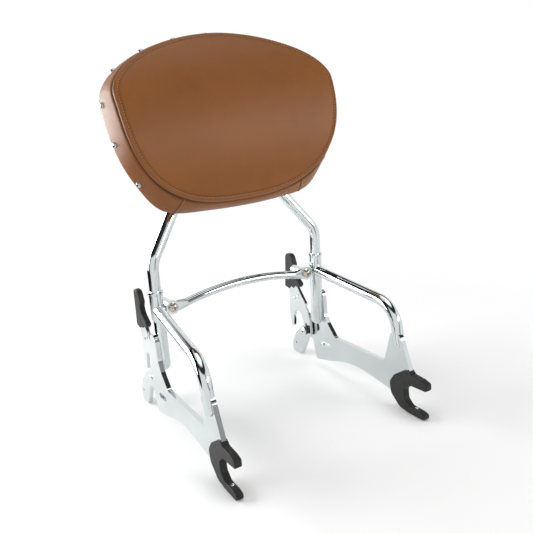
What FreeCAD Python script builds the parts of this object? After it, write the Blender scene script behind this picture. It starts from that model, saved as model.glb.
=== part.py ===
"""Detachable motorcycle passenger backrest with a studded leather pad.

Two side plates dock on the machine: a fork in front, a hook slot behind that a lever latch closes.
Tubes rise from the plates to two sockets, which carry a bent hoop with the pad on it.

Frame: millimetres, +X to the right, +Y to the rear, +Z up. The origin is on the middle plane,
half way along the length, on the surface that the forks and hooks stand on.
"""
import FreeCAD, Part
import math
import os

import Sketcher

Vector = FreeCAD.Vector
RIGHT, LEFT = 1, -1
HANDS = {RIGHT: "right", LEFT: "left"}

# Driving dimensions: alias, value and what it is
SIZES = [
    # Side plates
    ("frame_width", 280, "distance between the middle planes of the two side plates"),
    ("plate_thick", 6.4, "side plate thickness"),
    ("slot_to_middle", 139.2, "fork slot root to the middle of the length"),
    ("slot_height", 43, "fork slot root above the standing surface"),
    ("hook_distance", 248, "fork slot root to hook slot root"),
    ("hook_drop", 2, "hook slot root below fork slot root"),
    ("post_height", 92, "top of the rear post above the hook slot root"),
    ("tab_height", 67, "top of the front tab above the fork slot root"),
    ("slot_length", 27, "length of the tie-down slot in the plate"),
    ("slot_width", 7, "width of the tie-down slot in the plate"),
    ("hook_hole", 4, "diameter of the small hole in the hook"),
    # Fork covers
    ("cover_thick", 9.5, "fork cover thickness"),
    ("cover_gap", 0.15, "gap between fork cover and plate"),
    ("cover_round", 1.2, "rounding of the outer edges of the fork cover"),
    ("rivet_radius", 2.6, "radius of the screw head in the fork's slot"),
    ("rivet_height", 1, "height of the screw head in the fork's slot"),
    # Latches
    ("latch_thick", 5, "latch plate thickness"),
    ("latch_bevel", 0.4, "bevel of the latch plate edges"),
    ("washer_thick", 2, "pivot washer thickness"),
    ("washer_gap", 0.1, "gap between pivot washer and latch plate"),
    ("pivot_radius", 4, "pivot bolt shank radius"),
    ("pivot_fit", 0.05, "radial clearance of the latch on its pivot"),
    ("pivot_back", -4, "pivot behind the hook slot root"),
    ("pivot_up", 16, "pivot above the hook slot root"),
    ("pivot_head", 6.5, "pivot bolt head radius"),
    ("grip_thick", 8, "latch grip thickness"),
    ("grip_round", 0.9, "bevel of the grip edges"),
    ("grip_gap", 0.15, "gap between grip and lever tang"),
    ("grip_screw", 2, "grip screw shank radius"),
    ("spring_wire", 1.8, "width of the latch spring's square wire"),
    ("spring_radius", 5.8, "latch spring mean coil radius"),
    ("spring_pitch", 2.05, "advance of the latch spring in one turn"),
    ("spring_side", 0.4, "side clearance of the latch spring"),
    ("spring_leg", 15, "length of the latch spring's long leg"),
    # Rear legs, braces and hoop
    ("leg_inboard", 5.8, "leg axis inside the inner face of the side plate"),
    ("leg_radius", 9.5, "rear leg outer radius"),
    ("leg_wall", 1.4, "rear leg wall"),
    ("leg_back", -38.2, "leg axis behind the hook slot root, at the leg_level height"),
    ("leg_level", 72.7, "height over the hook slot root where leg_back is measured"),
    ("leg_lean", 4.7, "forward lean of the legs in degrees"),
    ("leg_top", 151, "top of the socket above the hook slot root"),
    ("leg_bottom", 36, "lower end of the leg above the hook slot root"),
    ("leg_window", 22, "open slot in the leg above the post"),
    ("brace_radius", 8, "brace outer radius"),
    ("brace_wall", 1.5, "brace wall"),
    ("brace_start", 128, "brace start on the leg, above the hook slot root"),
    ("brace_corner_back", 36, "brace corner behind the fork slot root"),
    ("brace_corner_up", 104, "brace corner above the fork slot root"),
    ("brace_end_back", 29, "brace end behind the fork slot root"),
    ("brace_end_up", 50, "brace end above the fork slot root"),
    ("brace_bend", 38, "brace bend radius"),
    ("brace_out", 2, "brace end outside the plate's middle plane"),
    ("hoop_radius", 8, "hoop rod radius"),
    ("hoop_fit", 0.1, "radial clearance of the hoop in its socket"),
    ("hoop_depth_in", 34, "length of the hoop inside its socket"),
    ("hoop_shoulder", 42, "hoop shoulder above the top of the socket"),
    ("hoop_bend", 34, "hoop bend radius"),
    ("hoop_half", 70, "half the distance between the hoop rods behind the pad"),
    ("hoop_low", -33, "lower corner of the hoop, as a level of the pad"),
    ("hoop_high", 112, "top of the hoop, as a level of the pad"),
    ("collar_height", 4, "collar ring height"),
    ("collar_wall", 2.6, "collar ring wall"),
    # Cross-bar
    ("bar_inboard", 20.7, "cross-bar bolts inside the leg axes"),
    ("bar_neck", 15, "length of the cross-bar's flattened neck"),
    ("bar_radius", 6, "cross-bar radius"),
    ("bar_rise", 12, "rise of the cross-bar at the middle"),
    ("bar_level", 127, "cross-bar bolts above the hook slot root"),
    ("bar_back", -48.5, "front face of the bar eye behind the hook slot root"),
    ("eye_radius", 10, "bar eye radius"),
    ("eye_thick", 5, "bar eye thickness"),
    ("boss_radius", 7, "cross-bar boss radius"),
    ("boss_length", 32, "cross-bar boss length"),
    ("boss_bore", 4.25, "threaded bore radius of the boss"),
    ("boss_bolt_depth", 13, "depth of the boss's front bore, for the cross-bar bolt"),
    ("boss_rack_depth", 16, "depth of the boss's rear bore, free for a rack"),
    ("bolt_head", 6.8, "cross-bar bolt head radius"),
    ("bolt_length", 12, "length of the cross-bar bolt beyond the eye"),
    # Pad
    ("pad_width", 312, "width of the pad's front edge"),
    ("pad_top", 83.2, "front edge top above the widest level"),
    ("pad_bottom", 143.5, "front edge bottom below the widest level"),
    ("pad_level", 82, "widest level above the pad plane's reference point"),
    ("pad_tilt", 14, "backward tilt of the pad in degrees"),
    ("pad_back", 145.9, "pad plane's reference point behind the fork slot root"),
    ("pad_height", 330, "pad plane's reference point above the fork slot root"),
    ("pad_deep", 38.7, "pad depth at the middle of its height"),
    ("pad_front_curve", 198, "radius of the pad's front in side view"),
    ("pad_rear_curve", 425, "radius of the pad's rear in side view"),
    ("pad_curve_level", 51, "level of the foremost line of the pad"),
    ("pad_flare", 0.35, "outward growth of the boxing for each millimetre of depth"),
    ("pad_edge_round", 6, "rounding of the front edge"),
    ("drum_length", 600, "length of the drums that curve the pad's front and rear"),
    ("board_grow", 8, "growth of the back board over the pad's front edge"),
    ("board_back", 66, "depth of the back board's flat rear face"),
    ("board_gap", 0.3, "gap between cushion and back board"),
    ("boss_reach", 7, "length of the back board's screw bosses"),
    ("bracket_thick", 4, "mounting bracket thickness"),
    ("bracket_edge", 14, "bracket edge beyond the pad screws"),
    ("bracket_band", 26, "width of the bracket's bands above and below its window"),
    ("screw_level", 34, "middle level of the pad screws"),
    ("screw_across", 100, "pad screws, distance across"),
    ("screw_along", 60, "pad screws, distance along the pad"),
    ("screw_radius", 3, "pad screw shank radius"),
    ("screw_length", 18, "pad screw shank length"),
    ("stud_radius", 4, "stud radius"),
    ("stud_inset", 9, "stud in front of the pad's rear edge"),
    ("stud_count", 13, "number of studs"),
    ("stud_start", 40, "angle below the widest level at which the studs start, in degrees"),
]

# Outline of the side plate: place (F from the fork root, R from the hook root), back, up, radius
PLATE_TAB_WIDTH = 19
PLATE_REAR = [
    (-73, 20, 8), (-55, 40, 22), (-48, 54, 20), (-49, "post_height", 9), (-28, "post_height", 9),
    (-25, 48, 14), (-2, 28, 14), (20, 16, 22), (44, -3, 22), (59, -26, 16), (57, -41, 8),
    (33, -41, 7), (14, -12, 14), (7, 1, 7), (-9, 1, 7), (-14, -22, 26), (-16, -33, 4),
    (-52, -25.5, 60),
]
PLATE_FRONT = [
    (132, -10, 170), (76, -17, 60), (44, -22, 20), (25, -37, 12), (4, -39.9, 20), (-17.6, -39.9, 1.4),
    (-18, -36.4, 1.4), (8.4, -36, 9), (18.9, -25.5, 8), (19.2, -8.5, 8), (5.5, 3, 10), (-24, 4.4, 2),
    (-24.5, 9, 2), (-17, 11.2, 8), (2, 12.5, 6), (10, 36, 40),
]
# The outer outline of the fork cover
COVER_OUTLINE = [
    (6, 21.5, 3), (0, 15.8, 3), (-18, 14.5, 9), (-28, 11.5, 3.5), (-27.4, 1, 3.5), (4, -0.5, 9),
    (15.8, -10, 6), (15.5, -24, 7), (7, -32.5, 7), (-13, -33, 6), (-22, -35, 3), (-22, -43, 4.5),
    (9, -43, 30), (27, -40.5, 14), (44, -25, 12), (46, -8, 12), (36, 5, 12), (14, 19, 4),
]
# The straight stretch of the slot's lower wall that the cover's screw sits on
COVER_SCREW_WALL = [(-13, -33), (7, -32.5)]
# The latch plate with its tang, and the grip on it
LATCH_OUTLINE = [
    (-5, 62, 18), (-13.5, 42, 24), (-14.5, 5.5, 10), (6.5, 5.5, 10), (6, 30, 14), (11, 43, 9),
    (31, 43, 8), (37, 14, 1.6), (42.5, 11, 2.6), (47, 38, 30), (41.5, 68, 20), (43, 84, 14),
    (38, 118, 6), (28, 118, 6), (16, 86, 14),
]
GRIP_OUTLINE = [
    (54, 79, 4), (49, 105, 30), (43.5, 141, 8), (25, 141, 8), (19, 124, 4), (24, 116, 3),
    (21, 106, 8), (2, 93, 4), (12, 86, 3), (20, 88.5, 2), (27, 82.5, 3), (34, 85, 2), (41, 79, 3),
    (47, 81, 2),
]
GRIP_SCREWS = [(27.8, 65), (16, 70)]
TOP_POWER, BOTTOM_POWER = 1.94, 2.74
SPRING_THIRDS = 5

doc = FreeCAD.newDocument("backrest")
sheet = doc.addObject("Spreadsheet::Sheet", "Sizes")
for row, (alias, value, meaning) in enumerate(SIZES, 1):
    sheet.set("A%d" % row, alias)
    sheet.set("B%d" % row, str(value))
    sheet.set("C%d" % row, meaning)
    sheet.setAlias("B%d" % row, alias)
doc.recompute()

nodes = []


def size(alias):
    """Return a driving dimension from the sheet."""
    return float(sheet.get(alias))


def front(back, up):
    """Return Y and Z of a point given from the fork slot root."""
    return back - size("slot_to_middle"), up + size("slot_height")


def rear(back, up):
    """Return Y and Z of a point given from the hook slot root."""
    return front(back + size("hook_distance"), up - size("hook_drop"))


def placed(outline, place):
    """Return the outline's corners in the row frame; a word stands for a size."""
    corners = []
    for back, up, radius in outline:
        up = size(up) if isinstance(up, str) else up
        corners.append(place(back, up) + (radius,))
    return corners


def grown(corners, distance):
    """Return the corners of an outline moved outwards by a distance."""
    turn = area(corners)
    count = len(corners)
    moved = []
    for index, (y, z, radius) in enumerate(corners):
        before, after = corners[index - 1], corners[(index + 1) % count]
        a = unit(y - before[0], z - before[1])
        b = unit(after[0] - y, after[1] - z)
        side = 1 if turn > 0 else -1
        na, nb = (side * a[1], -side * a[0]), (side * b[1], -side * b[0])
        scale = distance / (1 + na[0] * nb[0] + na[1] * nb[1])
        convex = (a[0] * b[1] - a[1] * b[0]) * side > 0
        new_radius = max(radius + distance * (1 if convex else -1), 0.3)
        moved.append((y + (na[0] + nb[0]) * scale, z + (na[1] + nb[1]) * scale, new_radius))
    return moved


def area(corners):
    """Return the signed area of a polygon."""
    total = 0
    for index, (y, z, _) in enumerate(corners):
        before = corners[index - 1]
        total += before[0] * z - y * before[1]
    return total / 2


def unit(y, z):
    """Return the unit vector along (y, z)."""
    length = math.hypot(y, z)
    return y / length, z / length


def rounded_edges(corners):
    """Return straight and arc pieces of an outline, as point lists of two or three points."""
    ends = []
    count = len(corners)
    for index, (y, z, radius) in enumerate(corners):
        before, after = corners[index - 1], corners[(index + 1) % count]
        a = unit(before[0] - y, before[1] - z)
        b = unit(after[0] - y, after[1] - z)
        half = math.acos(max(-1, min(1, a[0] * b[0] + a[1] * b[1]))) / 2
        reach = radius / math.tan(half)
        middle = unit(a[0] + b[0], a[1] + b[1])
        depth = radius / math.sin(half) - radius
        ends.append((
            (y + a[0] * reach, z + a[1] * reach),
            (y + middle[0] * depth, z + middle[1] * depth),
            (y + b[0] * reach, z + b[1] * reach),
        ))
    pieces = []
    for index, (start, middle, stop) in enumerate(ends):
        previous = ends[index - 1][2]
        if math.hypot(start[0] - previous[0], start[1] - previous[1]) > 0.02:
            pieces.append((previous, start))
        pieces.append((start, middle, stop))
    return pieces


def add_outline(sketch, corners):
    """Draw a rounded outline in a sketch and join its pieces end to end."""
    pieces = rounded_edges(corners)
    for piece in pieces:
        points = [Vector(y, z, 0) for y, z in piece]
        if len(points) == 2:
            sketch.addGeometry(Part.LineSegment(*points), False)
        else:
            sketch.addGeometry(Part.Arc(*points), False)


def side_sketch(body, name):
    """Return a new sketch on the body's own YZ plane."""
    sketch = body.newObject("Sketcher::SketchObject", name)
    plane = next(item for item in body.Origin.OriginFeatures if item.Role == "YZ_Plane")
    sketch.AttachmentSupport = [(plane, "")]
    sketch.MapMode = "FlatFace"
    return sketch


def new_body(label, place_x):
    """Return a new body whose place across the frame follows an expression."""
    body = doc.addObject("PartDesign::Body", label)
    body.Label = label
    body.setExpression("Placement.Base.x", place_x)
    nodes.append(body)
    return body


def padded(body, corners, thickness, name="Outline"):
    """Pad an outline both ways from the body's YZ plane; thickness is an expression."""
    sketch = side_sketch(body, name)
    add_outline(sketch, corners)
    pad = body.newObject("PartDesign::Pad", name + "Pad")
    pad.Profile = sketch
    pad.Midplane = True
    pad.setExpression("Length", thickness)
    doc.recompute()
    return pad


def pocketed(body, name, thickness, corners=None, holes=()):
    """Cut an outline or round holes both ways from the YZ plane and check that it cut."""
    volume = body.Shape.Volume
    sketch = side_sketch(body, name)
    if corners:
        add_outline(sketch, corners)
    for y, z, radius in holes:
        circle = Part.Circle(Vector(y, z, 0), Vector(0, 0, 1), size_or_value(radius))
        index = sketch.addGeometry(circle, False)
        sketch.addConstraint(Sketcher.Constraint("Radius", index, size_or_value(radius)))
        if isinstance(radius, str):
            sketch.setExpression("Constraints[%d]" % (sketch.ConstraintCount - 1), radius)
    pocket = body.newObject("PartDesign::Pocket", name + "Cut")
    pocket.Profile = sketch
    pocket.Midplane = True
    pocket.setExpression("Length", thickness)
    doc.recompute()
    if body.Shape.Volume >= volume - 0.01:
        raise RuntimeError("%s of %s cuts nothing" % (name, body.Label))
    return pocket


def size_or_value(radius):
    """Return a radius given as a number or as an expression on one size."""
    if isinstance(radius, str):
        total = 0
        for term in radius.split("+"):
            total += size(term.strip().replace("Sizes.", ""))
        return total
    return radius


def long_edges(shape, half_thick, lowest=0.5):
    """Return the names of the outline edges on the two flat faces of a padded body."""
    names = []
    for index, edge in enumerate(shape.Edges, 1):
        box = edge.BoundBox
        flat = box.XLength < 0.001 and abs(abs(box.XMin) - half_thick) < 0.001
        if flat and edge.Length > lowest:
            names.append("Edge%d" % index)
    return names


def feature(label, shape):
    """Add a shape that is worked out here from the sheet's sizes."""
    item = doc.addObject("Part::Feature", label)
    item.Label = label
    item.Shape = shape
    nodes.append(item)
    return item


def mirrored(source, label):
    """Add the left-hand twin of a right-hand piece."""
    twin = doc.addObject("Part::Mirroring", label)
    twin.Label = label
    twin.Source = source
    twin.Normal = Vector(1, 0, 0)
    twin.Base = Vector(0, 0, 0)
    nodes.append(twin)
    return twin


def turned(profile, origin, axis, crown=0):
    """Return a solid turned about an axis from pairs of distance along and radius.

    A crown height closes the profile from its last point to the axis with a round dome.
    """
    points = [Vector(radius, 0, along) for along, radius in profile]
    edges = []
    for start, stop in zip(points, points[1:]):
        edges.append(Part.LineSegment(start, stop).toShape())
    last = points[-1]
    if crown:
        rim = last
        dome_radius = (rim.x ** 2 + crown ** 2) / (2 * crown)
        centre = rim.z + crown - dome_radius
        half = math.atan2(rim.x, rim.z - centre) / 2
        through = Vector(dome_radius * math.sin(half), 0, centre + dome_radius * math.cos(half))
        last = Vector(0, 0, rim.z + crown)
        edges.append(Part.Arc(rim, through, last).toShape())
    edges.append(Part.LineSegment(last, points[0]).toShape())
    solid = Part.Face(Part.Wire(edges)).revolve(Vector(0, 0, 0), Vector(0, 0, 1), 360)
    solid.Placement = FreeCAD.Placement(
        Vector(*origin), FreeCAD.Rotation(Vector(0, 0, 1), Vector(*axis)))
    return solid if solid.Volume > 0 else solid.reversed()


def rod_path(points, bends):
    """Return a wire of straight runs joined by tangent arcs."""
    edges = []
    start = points[0]
    for index, bend in enumerate(bends, 1):
        corner = points[index]
        a = (points[index - 1] - corner).normalize()
        b = (points[index + 1] - corner).normalize()
        half = a.getAngle(b) / 2
        reach = bend / math.tan(half)
        middle = (a + b).normalize()
        first, last = corner + a * reach, corner + b * reach
        through = corner + middle * (bend / math.sin(half) - bend)
        edges.append(Part.LineSegment(start, first).toShape())
        edges.append(Part.Arc(first, through, last).toShape())
        start = last
    edges.append(Part.LineSegment(start, points[-1]).toShape())
    return Part.Wire(edges)


def rod(points, bends, radius):
    """Return a round rod along a path of runs and arcs, checked by its volume."""
    path = rod_path(points, bends)
    direction = points[1] - points[0]
    profile = Part.Wire(Part.makeCircle(radius, points[0], direction))
    solid = path.makePipeShell([profile], True, True)
    expected = math.pi * radius ** 2 * path.Length
    if abs(solid.Volume / expected - 1) > 0.01:
        raise RuntimeError("a rod of radius %.1f has the wrong volume" % radius)
    return solid


def cylinder(radius, start, stop):
    """Return a cylinder between two points."""
    return Part.makeCylinder(radius, (stop - start).Length, start, stop - start)


# Places that several pieces share

def leg_point(up):
    """Return the point of the right leg's axis at a height above the hook slot root."""
    back = size("leg_back") - (up - size("leg_level")) * math.tan(math.radians(size("leg_lean")))
    return Vector(PLATE_INNER - size("leg_inboard"), *rear(back, up))


def pad_point(across, level, depth):
    """Return a point of the pad frame: across, up along the pad and depth behind its plane."""
    tilt = math.radians(size("pad_tilt"))
    back = size("pad_back") + level * math.sin(tilt) + depth * math.cos(tilt)
    up = size("pad_height") + level * math.cos(tilt) - depth * math.sin(tilt)
    return Vector(across, *front(back, up))


def pad_placement():
    """Return the placement that takes X, Y depth and Z level to the pad frame."""
    return FreeCAD.Placement(
        pad_point(0, 0, 0), FreeCAD.Rotation(Vector(1, 0, 0), -size("pad_tilt")))


PLATE_X = size("frame_width") / 2
PLATE_INNER = PLATE_X - size("plate_thick") / 2
LATCH_X = PLATE_INNER - size("washer_thick") - size("washer_gap") - size("latch_thick") / 2
LATCH_INNER = LATCH_X - size("latch_thick") / 2
LATCH_PLACE = ("(Sizes.frame_width / 2 - Sizes.plate_thick / 2 - Sizes.washer_thick"
               " - Sizes.washer_gap - Sizes.latch_thick / 2)")
PIVOT = rear(size("pivot_back"), size("pivot_up"))
ROD_BACK = size("board_back") + size("boss_reach") + size("bracket_thick") + size("hoop_radius")


def plate_corners():
    """Return the corners of the side plate's outline."""
    tab = size("tab_height")
    tab_corners = [(21, tab, 10), (21 + PLATE_TAB_WIDTH, tab, 9), (48, 42, 25), (57, 18, 5)]
    return (placed(tab_corners, front) + placed(PLATE_REAR, rear) + placed(PLATE_FRONT, front))


def side_plate(hand):
    """Build a side plate with its fork, hook, tie-down slot and holes."""
    body = new_body(HANDS[hand] + "_side_plate", "%d * Sizes.frame_width / 2" % hand)
    padded(body, plate_corners(), "Sizes.plate_thick")
    half, width = size("slot_length") / 2, size("slot_width") / 2
    slot = [(-46 - half, 2 - width, width * 0.98), (-46 + half, -width, width * 0.98),
            (-46 + half, width, width * 0.98), (-46 - half, 2 + width, width * 0.98)]
    pocketed(body, "Slot", "Sizes.plate_thick * 2", corners=placed(slot, rear))
    holes = [PIVOT + ("Sizes.pivot_radius + Sizes.pivot_fit",), rear(46, -22) + (size("hook_hole") / 2,)]
    pocketed(body, "Holes", "Sizes.plate_thick * 2", holes=holes)


def fork_cover(hand):
    """Build the moulded cover that slips over the fork of a side plate."""
    body = new_body(HANDS[hand] + "_fork_cover", "%d * Sizes.frame_width / 2" % hand)
    pad = padded(body, placed(COVER_OUTLINE, front), "Sizes.cover_thick")
    fillet = body.newObject("PartDesign::Fillet", "Edges")
    fillet.Base = (pad, long_edges(pad.Shape, size("cover_thick") / 2))
    fillet.setExpression("Radius", "Sizes.cover_round")
    doc.recompute()
    inside = grown(plate_corners(), size("cover_gap"))
    pocketed(body, "Inside", "Sizes.plate_thick + 2 * Sizes.cover_gap", corners=inside)


def cover_screw(hand):
    """Build the screw head that holds a fork cover, on the lower wall of its slot."""
    start, stop = COVER_SCREW_WALL
    low, high = front(*start), front(*stop)
    along = unit(high[0] - low[0], high[1] - low[1])
    out = (-along[1], along[0])
    lift = 0.1
    place = ((low[0] + high[0]) / 2 + out[0] * lift, (low[1] + high[1]) / 2 + out[1] * lift)
    edge = size("rivet_height") * 0.3
    profile = [(0, 0), (0, size("rivet_radius")), (edge, size("rivet_radius"))]
    head = turned(profile, (hand * PLATE_X, *place), (0, *out), size("rivet_height") - edge)
    feature(HANDS[hand] + "_cover_rivets", head)


def latch_plate(hand):
    """Build the latch plate: pivot eye, jaw and the tang for the grip."""
    body = new_body(HANDS[hand] + "_latch_plate", "%d * %s" % (hand, LATCH_PLACE))
    pad = padded(body, placed(LATCH_OUTLINE, rear), "Sizes.latch_thick")
    bevel = body.newObject("PartDesign::Chamfer", "Edges")
    bevel.Base = (pad, long_edges(pad.Shape, size("latch_thick") / 2, 2))
    bevel.setExpression("Size", "Sizes.latch_bevel")
    doc.recompute()
    holes = [PIVOT + ("Sizes.pivot_radius + Sizes.pivot_fit",)]
    for place in GRIP_SCREWS:
        holes.append(rear(*place) + ("Sizes.grip_screw + Sizes.pivot_fit",))
    pocketed(body, "Holes", "Sizes.latch_thick * 2", holes=holes)


def latch_grip(hand):
    """Build the rubber grip on the lever's tang."""
    body = new_body(HANDS[hand] + "_latch_grip", "%d * %s" % (hand, LATCH_PLACE))
    pad = padded(body, placed(GRIP_OUTLINE, rear), "Sizes.grip_thick")
    bevel = body.newObject("PartDesign::Chamfer", "Edges")
    bevel.Base = (pad, long_edges(pad.Shape, size("grip_thick") / 2, 2))
    bevel.setExpression("Size", "Sizes.grip_round")
    doc.recompute()
    inside = grown(placed(LATCH_OUTLINE, rear), size("grip_gap"))
    pocketed(body, "Inside", "Sizes.latch_thick + 2 * Sizes.grip_gap", corners=inside)


def grip_screws(hand):
    """Build the two screws under a grip, heads on the inner face."""
    solids = []
    shank, thick = size("grip_screw"), size("latch_thick")
    for place in GRIP_SCREWS:
        start = (hand * (LATCH_INNER + thick + 0.8), *rear(*place))
        profile = [(0, 0), (0, shank), (thick + 0.9, shank), (thick + 0.9, shank * 1.7)]
        solids.append(turned(profile, start, (-hand, 0, 0), shank * 0.8))
    feature(HANDS[hand] + "_grip_screws", Part.makeCompound(solids))


def pivot_bolt(hand):
    """Build the pivot bolt: domed head inside, shank through spring, latch and plate."""
    head, shank = size("pivot_head"), size("pivot_radius")
    edge, crown, tip, proud = 1, 2.5, 0.8, 1.6
    outer = PLATE_X + size("plate_thick") / 2 + proud
    length = outer - LATCH_INNER + spring_width() + 2 * size("spring_side")
    profile = [(0, 0), (0, shank - tip), (tip, shank), (length, shank), (length, head), (length + edge, head)]
    bolt = turned(profile, (hand * outer, *PIVOT), (-hand, 0, 0), crown)
    socket = Part.Face(Part.makePolygon(hexagon(shank * 0.55))).extrude(Vector(0, 0, crown))
    socket.Placement = FreeCAD.Placement(
        Vector(hand * (outer - length - edge - crown - 0.1), *PIVOT),
        FreeCAD.Rotation(Vector(0, 0, 1), Vector(hand, 0, 0)))
    feature(HANDS[hand] + "_pivot_bolt", bolt.cut(socket))


def hexagon(radius):
    """Return the closed polygon of a hexagon in the XY plane."""
    points = []
    for corner in range(7):
        angle = math.radians(60 * corner)
        points.append(Vector(radius * math.cos(angle), radius * math.sin(angle), 0))
    return points


def pivot_washer(hand):
    """Build the washer between the latch and the side plate."""
    outer = size("pivot_head") + 3
    bore = size("pivot_radius") + size("pivot_fit")
    thick = size("washer_thick")
    start = (hand * PLATE_INNER, *PIVOT)
    profile = [(0, bore), (thick, bore), (thick, outer), (0, outer)]
    feature(HANDS[hand] + "_pivot_washer", turned(profile, start, (-hand, 0, 0)))


def spring_width():
    """Return the width of the latch spring along the pivot."""
    return size("spring_pitch") * SPRING_THIRDS / 3 + size("spring_wire")


def latch_spring():
    """Build the right torsion spring on the pivot bolt, with a long leg up and a short one."""
    half, radius, pitch = size("spring_wire") / 2, size("spring_radius"), size("spring_pitch")

    def coil(turn):
        angle = 2 * math.pi * turn
        return Vector(radius * math.cos(angle), radius * math.sin(angle), pitch * turn)

    start = coil(0) - Vector(0, size("spring_leg"), 0)
    edges = [Part.LineSegment(start, coil(0)).toShape()]
    for third in range(SPRING_THIRDS):
        middle = coil((third + 0.5) / 3)
        edges.append(Part.Arc(coil(third / 3), middle, coil((third + 1) / 3)).toShape())
    end = coil(SPRING_THIRDS / 3)
    along = Vector(-end.y, end.x, 0).normalize()
    edges.append(Part.LineSegment(end, end + along * size("spring_leg") / 3).toShape())
    corners = []
    for across, rise in ((-half, -half), (half, -half), (half, half), (-half, half), (-half, -half)):
        corners.append(start + Vector(across, 0, rise))
    spring = Part.Wire(edges).makePipeShell([Part.makePolygon(corners)], True, True)
    turn = FreeCAD.Rotation(Vector(0, -1, 0), Vector(0, 0, -1), Vector(1, 0, 0), "ZXY")
    place = LATCH_INNER - size("spring_side") - spring_width() + half
    spring.Placement = FreeCAD.Placement(Vector(place, *PIVOT), turn)
    return spring


def rear_leg():
    """Build the right rear leg: a socket tube let on to the plate's inner face."""
    radius, wall = size("leg_radius"), size("leg_wall")
    top, bottom = leg_point(size("leg_top")), leg_point(size("leg_bottom"))
    along = (top - bottom).normalize()
    low = bottom + along * radius
    solid = cylinder(radius, low, top).fuse(Part.makeSphere(radius, low))
    bore = size("hoop_radius") + size("hoop_fit")
    floor = top - along * (size("hoop_depth_in") + 1)
    solid = solid.cut(cylinder(bore, floor, top + along))
    lower = Part.makeSphere(radius - wall - 0.2, low)
    solid = solid.cut(cylinder(radius - wall - 0.2, low, floor - along * 3).fuse(lower))
    window = rear(0, size("post_height") + size("leg_window"))[1]
    flat = Part.makeBox(2 * radius, 8 * radius, window, Vector(PLATE_INNER, bottom.y - 4 * radius, 0))
    return solid.cut(flat)


def brace_points():
    """Return the points of the right brace's path."""
    out = PLATE_X + size("brace_out")
    corner = Vector(out, *front(size("brace_corner_back"), size("brace_corner_up")))
    end = Vector(out, *front(size("brace_end_back"), size("brace_end_up")))
    return [leg_point(size("brace_start")), corner, end]


def brace():
    """Build the right brace: coped to the leg behind, closed and slotted over the plate in front."""
    radius, wall = size("brace_radius"), size("brace_wall")
    points = brace_points()
    outer = rod(points, [size("brace_bend")], radius)
    inner = rod(points, [size("brace_bend")], radius - wall)
    end = Part.makeSphere(radius, points[-1])
    solid = outer.fuse(end).cut(inner)
    leg = cylinder(size("leg_radius") + 0.05, leg_point(size("leg_bottom")), leg_point(size("leg_top") * 1.2))
    solid = solid.cut(leg)
    gap = size("cover_gap")
    corners = grown(plate_corners(), gap)
    edges = []
    for piece in rounded_edges(corners):
        ends = [Vector(0, y, z) for y, z in piece]
        edges.append((Part.LineSegment(*ends) if len(ends) == 2 else Part.Arc(*ends)).toShape())
    plate = Part.Face(Part.Wire(edges)).extrude(Vector(size("plate_thick") + 2 * gap, 0, 0))
    plate.translate(Vector(PLATE_INNER - gap, 0, 0))
    solid = solid.cut(plate)
    return max(solid.Solids, key=lambda part: part.Volume)


def hoop():
    """Build the bent hoop from socket to socket behind the pad."""
    half = size("hoop_half")
    start = leg_point(size("leg_top") - size("hoop_depth_in"))
    shoulder = leg_point(size("leg_top") + size("hoop_shoulder"))
    lower = pad_point(half, size("hoop_low"), ROD_BACK)
    upper = pad_point(half, size("hoop_high"), ROD_BACK)
    right = [start, shoulder, lower, upper]
    left = [Vector(-point.x, point.y, point.z) for point in reversed(right)]
    bend = size("hoop_bend")
    return rod(right + left, [bend] * 6, size("hoop_radius"))


def collar(hand):
    """Build the ring that closes the top of a socket."""
    bore = size("hoop_radius") + size("hoop_fit")
    outer, height = bore + size("collar_wall"), size("collar_height")
    edge = 0.9
    base, over = leg_point(size("leg_top")), leg_point(size("leg_top") + height)
    profile = [(0, bore), (height, bore), (height, outer - edge), (height - edge, outer), (edge, outer),
               (0, outer - edge)]
    axis = (0, over.y - base.y, over.z - base.z)
    ring = turned(profile, (hand * base.x, base.y, base.z), axis)
    feature(HANDS[hand] + "_collar", ring)


def bar_place():
    """Return X, the Y of the eye's front face and Z of the right cross-bar bolt."""
    return (leg_point(0).x - size("bar_inboard"),) + rear(size("bar_back"), size("bar_level"))


def cross_bar():
    """Build the arched cross-bar with its flattened, drilled eyes."""
    x, y, z = bar_place()
    thick, eye, radius = size("eye_thick"), size("eye_radius"), size("bar_radius")
    middle, rise = y + thick / 2, size("bar_rise")
    flat_x = x - eye * 0.7
    reach = flat_x - size("bar_neck")
    start, stop = Vector(-reach, middle, z + rise / 6), Vector(reach, middle, z + rise / 6)
    arc = Part.Arc(start, Vector(0, middle, z + rise), stop)
    slope = arc.tangent(arc.LastParameter)[0]
    backwards = Vector(slope.x, 0, -slope.z)
    profile = Part.Wire(Part.makeCircle(radius, start, backwards))
    bar = Part.Wire(arc.toShape()).makePipeShell([profile], True, True)
    for hand, end, along in ((RIGHT, stop, slope), (LEFT, start, backwards)):
        centre = Vector(hand * flat_x, middle, z)
        flat = Part.Ellipse(centre + Vector(0, 0, eye * 0.82), centre + Vector(0, thick / 2, 0), centre)
        round_end = Part.Wire(Part.makeCircle(radius, end, along))
        neck = Part.makeLoft([round_end, Part.Wire(flat.toShape())], True, False)
        disc = cylinder(eye, Vector(hand * x, y, z), Vector(hand * x, y + thick, z))
        bar = bar.fuse([neck, disc])
    for hand in HANDS:
        hole = cylinder(size("boss_bore"), Vector(hand * x, y - eye, z), Vector(hand * x, y + eye, z))
        bar = bar.cut(hole)
    return bar.removeSplitter()


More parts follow.
